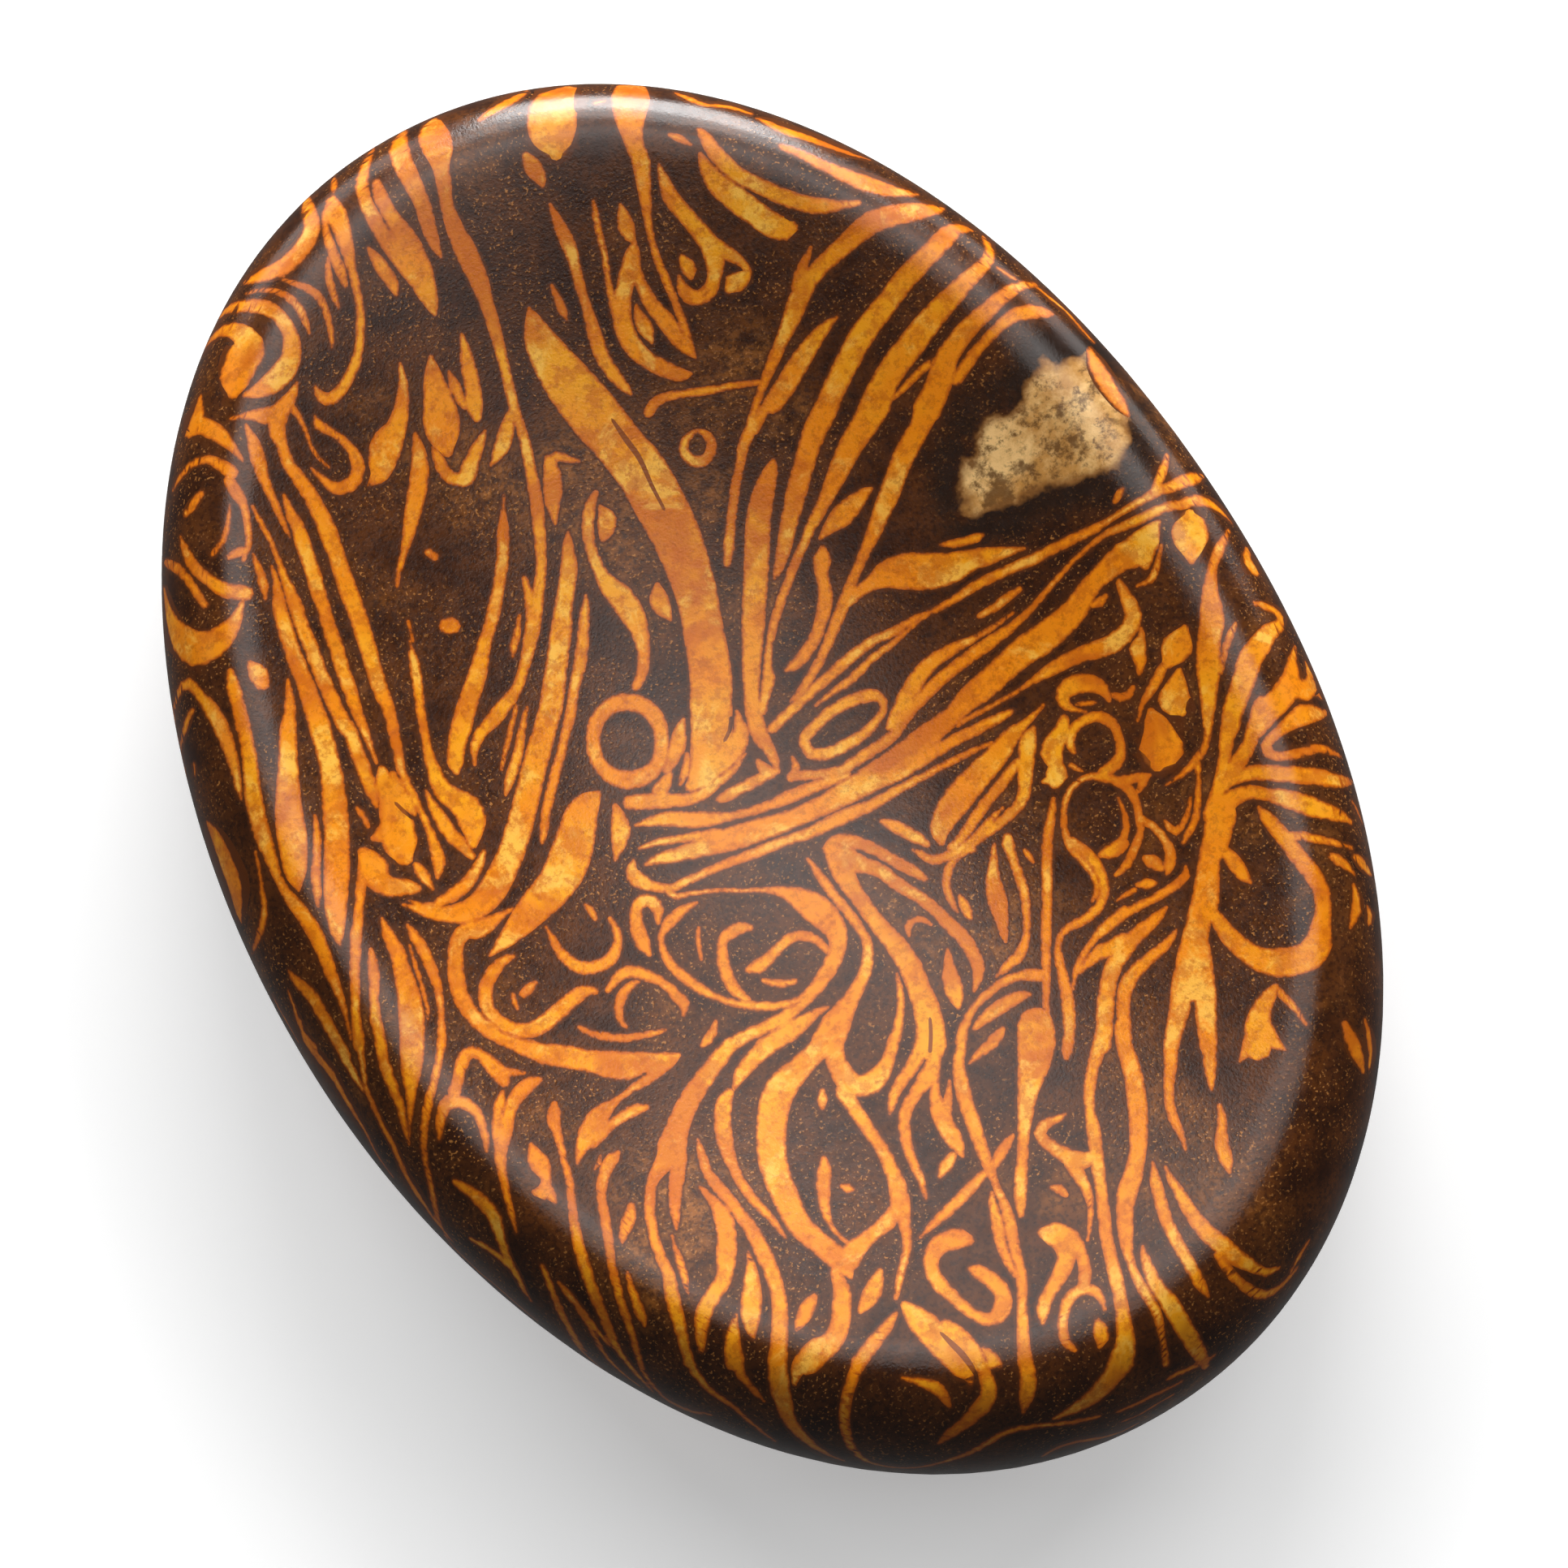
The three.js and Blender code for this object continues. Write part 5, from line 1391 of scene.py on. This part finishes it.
# %% [markdown]
# ## How deep inside a strand
# The rock darkens in a thin line where it meets a strand, and a strand is a little redder at its border.
# Each point of the mesh gets its distance from the nearest border: above 0 inside a strand, below 0
# outside. The distance could be measured to the outlines, but the discs that a brush of each stroke's
# width would leave give it without corners.

# %% Discs of the brush
SPOTS_PER_STEP = 4
HOME_SIDE = 0.8 * MM

spots = []
reaches = []
for stroke in strands + grown:
    line = surface(stroke.middle[:, 0], stroke.middle[:, 1])
    marks = np.arange(len(line))
    finer = np.linspace(0, len(line) - 1, SPOTS_PER_STEP * (len(line) - 1) + 1)
    spots.append(np.stack([np.interp(finer, marks, line[:, axis]) for axis in range(3)], axis=1))
    reaches.append(np.interp(finer, marks, stroke.half))
spots = np.vstack(spots)
reaches = np.concatenate(reaches)
crowd = {}
for index, key in enumerate(map(tuple, np.floor(spots / HOME_SIDE).astype(int))):
    crowd.setdefault(key, []).append(index)
crowd = {key: np.array(value) for key, value in crowd.items()}
print("discs:", len(spots))

# %% Distance to the border
FARTHEST_OUT = -0.3 * MM
DEEPEST_IN = 1.0 * MM

vertex_places = np.array([vert.co[:] for vert in mesh.vertices])
keys = np.floor(vertex_places / HOME_SIDE).astype(int)
order = np.lexsort(keys.T)
depth = np.full(len(vertex_places), FARTHEST_OUT)
groups = np.split(order, np.flatnonzero(np.any(np.diff(keys[order], axis=0), axis=1)) + 1)
for group in groups:
    home = keys[group[0]]
    near = [crowd[key] for key in (tuple(home + step) for step in NEIGHBOURS) if key in crowd]
    if near:
        near = np.concatenate(near)
        gaps = np.linalg.norm(vertex_places[group][:, None] - spots[near][None], axis=2)
        depth[group] = (reaches[near][None] - gaps).max(axis=1)
depth_mark = mesh.attributes.new("depth", "FLOAT", "POINT")
depth_mark.data.foreach_set("value", np.clip(depth, FARTHEST_OUT, DEEPEST_IN) / MM)
print("deepest point inside a strand:", round(float(depth.max() / MM), 2), "mm")

# %% [markdown]
# ## As smooth as polished stone
# A polished surface shows every facet in its reflections. More triangles would hide them, but the
# formula already knows which way the stone faces at every point, so the mesh is given those directions
# as its normals.

# %% Exact normals
POLE_GAP = 0.004

plan = vertex_places / MM + MIDDLE
vertex_angle = np.arctan2(plan[:, 1], plan[:, 0])
share = np.clip(np.hypot(plan[:, 0], plan[:, 1]) / outline_radius(vertex_angle), 0, 1)
upper = plan[:, 2] >= BELLY_HEIGHT
vertex_turn = np.where(upper, np.arcsin(share), math.pi - np.arcsin(share))
normals = surface_normal(vertex_angle, np.clip(vertex_turn, POLE_GAP, math.pi - POLE_GAP))
mesh.normals_split_custom_set_from_vertices([tuple(normal) for normal in normals])
print("points with exact normals:", len(normals))

# %% [markdown]
# ## The rock's colours
# One material covers the stone, because it is one piece of rock with one polish. The ground is a dark
# brown with a fine grain and rusty specks. The strands are orange, lighter in the middle and redder in
# places. The pale patch is a porous tan mineral. Each colour is a stack of noises of different sizes,
# blended one over the other, and the attributes of the mesh choose between the three. The polish is a
# satin one: a fairly soft gloss with a very fine grain in it.

# %% Small helpers for nodes
jasper = bpy.data.materials.new("jasper_polished")
jasper.use_nodes = True
nodes = jasper.node_tree.nodes
links = jasper.node_tree.links
shader = nodes["Principled BSDF"]


def node(kind, **settings):
    made = nodes.new(kind)
    for name, value in settings.items():
        setattr(made, name, value)
    return made


def attribute(name):
    return node("ShaderNodeAttribute", attribute_name=name).outputs["Fac"]


coordinates = node("ShaderNodeTexCoord").outputs["Object"]


def grain(scale, detail=3.0, roughness=0.5, warp=0.0):
    made = node("ShaderNodeTexNoise")
    made.inputs["Scale"].default_value = scale
    made.inputs["Detail"].default_value = detail
    made.inputs["Roughness"].default_value = roughness
    made.inputs["Distortion"].default_value = warp
    links.new(coordinates, made.inputs["Vector"])
    return made.outputs["Fac"]


def spread(value, low, high, first=0.0, last=1.0):
    made = node("ShaderNodeMapRange", interpolation_type="SMOOTHSTEP")
    made.inputs["From Min"].default_value = low
    made.inputs["From Max"].default_value = high
    made.inputs["To Min"].default_value = first
    made.inputs["To Max"].default_value = last
    links.new(value, made.inputs["Value"])
    return made.outputs["Result"]


def times(first, second):
    made = node("ShaderNodeMath", operation="MULTIPLY")
    links.new(first, made.inputs[0])
    if isinstance(second, float):
        made.inputs[1].default_value = second
    else:
        links.new(second, made.inputs[1])
    return made.outputs["Value"]


FIRST_COLOUR = 6
SECOND_COLOUR = 7
MIXED_COLOUR = 2


def blend(share, first, second):
    made = node("ShaderNodeMix", data_type="RGBA")
    links.new(share, made.inputs["Factor"])
    for socket, colour in ((FIRST_COLOUR, first), (SECOND_COLOUR, second)):
        if isinstance(colour, tuple):
            made.inputs[socket].default_value = (*colour, 1)
        else:
            links.new(colour, made.inputs[socket])
    return made.outputs[MIXED_COLOUR]


def rough_edge(value, scale, amount):
    made = node("ShaderNodeMath", operation="MULTIPLY_ADD")
    links.new(spread(grain(scale, 3, 0.6), 0.25, 0.75, -1.0, 1.0), made.inputs[0])
    made.inputs[1].default_value = amount
    links.new(value, made.inputs[2])
    return made.outputs["Value"]


print("material:", jasper.name)

# %% Ground
DARK_ROCK = (0.030, 0.0070, 0.0008)
BROWN_ROCK = (0.100, 0.027, 0.0030)
RUST_HAZE = (0.42, 0.140, 0.020)
RUST_SPECK = (0.55, 0.22, 0.05)
DARK_GRAIN = (0.018, 0.0040, 0.0006)
BORDER_ROCK = (0.095, 0.0220, 0.0020)
CRACK_ROCK = (0.26, 0.062, 0.003)
SOOT = (0.014, 0.0065, 0.0035)

depth_here = rough_edge(attribute("depth"), 4200, 0.035)
patch_here = rough_edge(attribute("patch"), 1300, 0.14)
ground = blend(spread(grain(700, 4, 0.6), 0.3, 0.7), DARK_ROCK, BROWN_ROCK)
haze = times(spread(grain(150, 4, 0.6), 0.52, 0.74), spread(grain(1900, 3, 0.6), 0.3, 0.75))
ground = blend(times(haze, 0.8), ground, RUST_HAZE)
speck = times(spread(grain(11000, 1, 0.5), 0.60, 0.72), spread(grain(330, 3, 0.5), 0.36, 0.60))
ground = blend(times(speck, 0.7), ground, RUST_SPECK)
ground = blend(times(spread(grain(7000, 2, 0.5), 0.55, 0.35), 0.6), ground, DARK_GRAIN)
ground = blend(spread(depth_here, -0.10, 0.0), ground, BORDER_ROCK)
ground = blend(spread(depth_here, 0.05, 0.18), ground, CRACK_ROCK)
sooty = times(spread(patch_here, -1.5, -0.3), spread(grain(420, 3, 0.6), 0.28, 0.5))
ground = blend(times(sooty, 0.85), ground, SOOT)
print("nodes so far:", len(nodes))

# %% Strands
DEEP_ORANGE = (0.86, 0.250, 0.001)
BRIGHT_ORANGE = (0.92, 0.37, 0.006)
RED_STAIN = (0.56, 0.110, 0.001)
PALE_ORANGE = (1.0, 0.58, 0.090)
RED_MOTTLE = (0.56, 0.120, 0.001)
DARK_MOTTLE = (0.40, 0.080, 0.001)
RED_BORDER = (0.56, 0.115, 0.001)
BROWN_BORDER = (0.105, 0.0240, 0.0010)

orange = blend(spread(grain(230, 4, 0.6), 0.38, 0.64), DEEP_ORANGE, BRIGHT_ORANGE)
stain = spread(grain(190, 4, 0.65, 0.8), 0.50, 0.62)
orange = blend(times(stain, 0.75), orange, RED_STAIN)
pale = spread(grain(480, 5, 0.7, 0.4), 0.51, 0.64)
orange = blend(times(pale, 0.65), orange, PALE_ORANGE)
orange = blend(times(spread(grain(1200, 5, 0.75), 0.48, 0.60), 0.6), orange, RED_MOTTLE)
orange = blend(times(spread(grain(3600, 4, 0.7), 0.50, 0.66), 0.45), orange, DARK_MOTTLE)
orange = blend(spread(depth_here, 0.13, 0.03), orange, RED_BORDER)
orange = blend(spread(depth_here, 0.06, -0.02), orange, BROWN_BORDER)
print("nodes so far:", len(nodes))

# %% Pale patch
TAN = (0.55, 0.26, 0.060)
CREAM = (0.92, 0.58, 0.23)
RUST = (0.62, 0.23, 0.018)
PORE = (0.11, 0.045, 0.012)
FINE_PORE = (0.14, 0.060, 0.015)
PATCH_EDGE = (0.22, 0.085, 0.018)

tan = blend(spread(grain(520, 5, 0.7), 0.38, 0.62), TAN, CREAM)
tan = blend(times(spread(grain(230, 4, 0.6), 0.46, 0.62), 0.8), tan, RUST)
tan = blend(times(spread(grain(900, 5, 0.7), 0.50, 0.62), 0.8), tan, PORE)
tan = blend(times(spread(grain(3600, 4, 0.7), 0.50, 0.66), 0.5), tan, FINE_PORE)
tan = blend(spread(patch_here, 0.40, 0.0), tan, PATCH_EDGE)

colour = blend(spread(patch_here, -0.06, 0.12), ground, tan)
colour = blend(attribute("strand"), colour, orange)
links.new(colour, shader.inputs["Base Color"])
print("material's nodes:", len(nodes))

# %% Polish
SMOOTHEST = 0.17
ROUGHEST = 0.25
GRAIN_HEIGHT = 0.006 * MM

shader.inputs["Specular IOR Level"].default_value = 0.5
links.new(spread(grain(3000, 3, 0.6), 0.3, 0.7, SMOOTHEST, ROUGHEST), shader.inputs["Roughness"])
bump = node("ShaderNodeBump")
bump.inputs["Strength"].default_value = 1.0
bump.inputs["Distance"].default_value = GRAIN_HEIGHT
links.new(grain(11000, 2, 0.6), bump.inputs["Height"])
links.new(bump.outputs["Normal"], shader.inputs["Normal"])
mesh.materials.append(jasper)
print("nodes with the polish:", len(nodes))

# %% Place in the frame
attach(stone, "root")
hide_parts("worry_stone")
print(stone.name, "takes the place of worry_stone")

# %% [markdown]
# ## Table and light
# The stone lies on a plain white table. Nearly all the light comes in low from the far side, so the near
# slopes of the rim and the far wall of the hollow stay dark. One lamp could do it, but then the sheen
# and the matt colour would hang together. So some soft boxes only brighten the matt colour, and others
# only make the sheen. The table glows a little to stay pale. The stone gets no light from it and
# doesn't mirror it, because the near rim is nearly black in the picture.

# %% Table
TABLE_HALF = 1.5
TABLE_GLOW = 0.35

table_mesh = bpy.data.meshes.new("table_top")
table_shape = bmesh.new()
bmesh.ops.create_grid(table_shape, x_segments=1, y_segments=1, size=TABLE_HALF)
table_shape.to_mesh(table_mesh)
table_shape.free()
table = bpy.data.objects.new("table_top", table_mesh)
bpy.context.scene.collection.objects.link(table)
white = bpy.data.materials.new("table_white")
white.use_nodes = True
paint = white.node_tree.nodes["Principled BSDF"]
paint.inputs["Base Color"].default_value = (0.9, 0.9, 0.9, 1)
paint.inputs["Roughness"].default_value = 0.9
paint.inputs["Emission Color"].default_value = (1, 1, 1, 1)
paint.inputs["Emission Strength"].default_value = TABLE_GLOW
table_mesh.materials.append(white)
table.visible_diffuse = False
table.visible_glossy = False
print("table:", table.name)

# %% Light of the room
ROOM_LIGHT = 0.10

world = bpy.data.worlds.new("room")
bpy.context.scene.world = world
world.use_nodes = True
backdrop = world.node_tree.nodes["Background"]
backdrop.inputs["Color"].default_value = (1, 1, 1, 1)
backdrop.inputs["Strength"].default_value = ROOM_LIGHT
print("room light:", ROOM_LIGHT)

# %% Soft boxes
LAMP_AWAY = 0.55
LOW_BOX = 0.27
HIGH_BOX = 0.35
SHEEN_BOXES = ((0, 15, LOW_BOX, 11), (-35, 10, LOW_BOX, 2), (35, 10, LOW_BOX, 2), (0, 32, LOW_BOX, 5),
               (0, 55, HIGH_BOX, 1.4), (0, 74, LOW_BOX, 1.5))
COLOUR_BOXES = ((0, 10, LOW_BOX, 4), (-35, 10, LOW_BOX, 3), (35, 10, LOW_BOX, 3), (0, 26, LOW_BOX, 9),
                (-35, 26, LOW_BOX, 6), (35, 26, LOW_BOX, 6), (-75, 32, LOW_BOX, 2), (75, 32, LOW_BOX, 2),
                (0, 55, HIGH_BOX, 1))
away = Vector((view_up.x, view_up.y, 0)).normalized()


def soft_box(name, turn, rise, size, brightness, for_sheen):
    light = bpy.data.lights.new(name, "AREA")
    light.shape = "SQUARE"
    light.size = size
    light.energy = brightness * math.pi * size * size
    lamp = bpy.data.objects.new(name, light)
    bpy.context.scene.collection.objects.link(lamp)
    level = away * math.cos(math.radians(turn)) + view_right * math.sin(math.radians(turn))
    direction = level * math.cos(math.radians(rise)) + Vector((0, 0, math.sin(math.radians(rise))))
    lamp.location = direction * LAMP_AWAY
    lamp.rotation_euler = (-direction).to_track_quat("-Z", "Y").to_euler()
    lamp.visible_glossy = for_sheen
    lamp.visible_diffuse = not for_sheen


for turn, rise, size, brightness in SHEEN_BOXES:
    soft_box("sheen_box", turn, rise, size, brightness, True)
for turn, rise, size, brightness in COLOUR_BOXES:
    soft_box("colour_box", turn, rise, size, brightness, False)
bpy.context.scene.view_settings.view_transform = "Standard"
print("soft boxes:", len(SHEEN_BOXES) + len(COLOUR_BOXES))
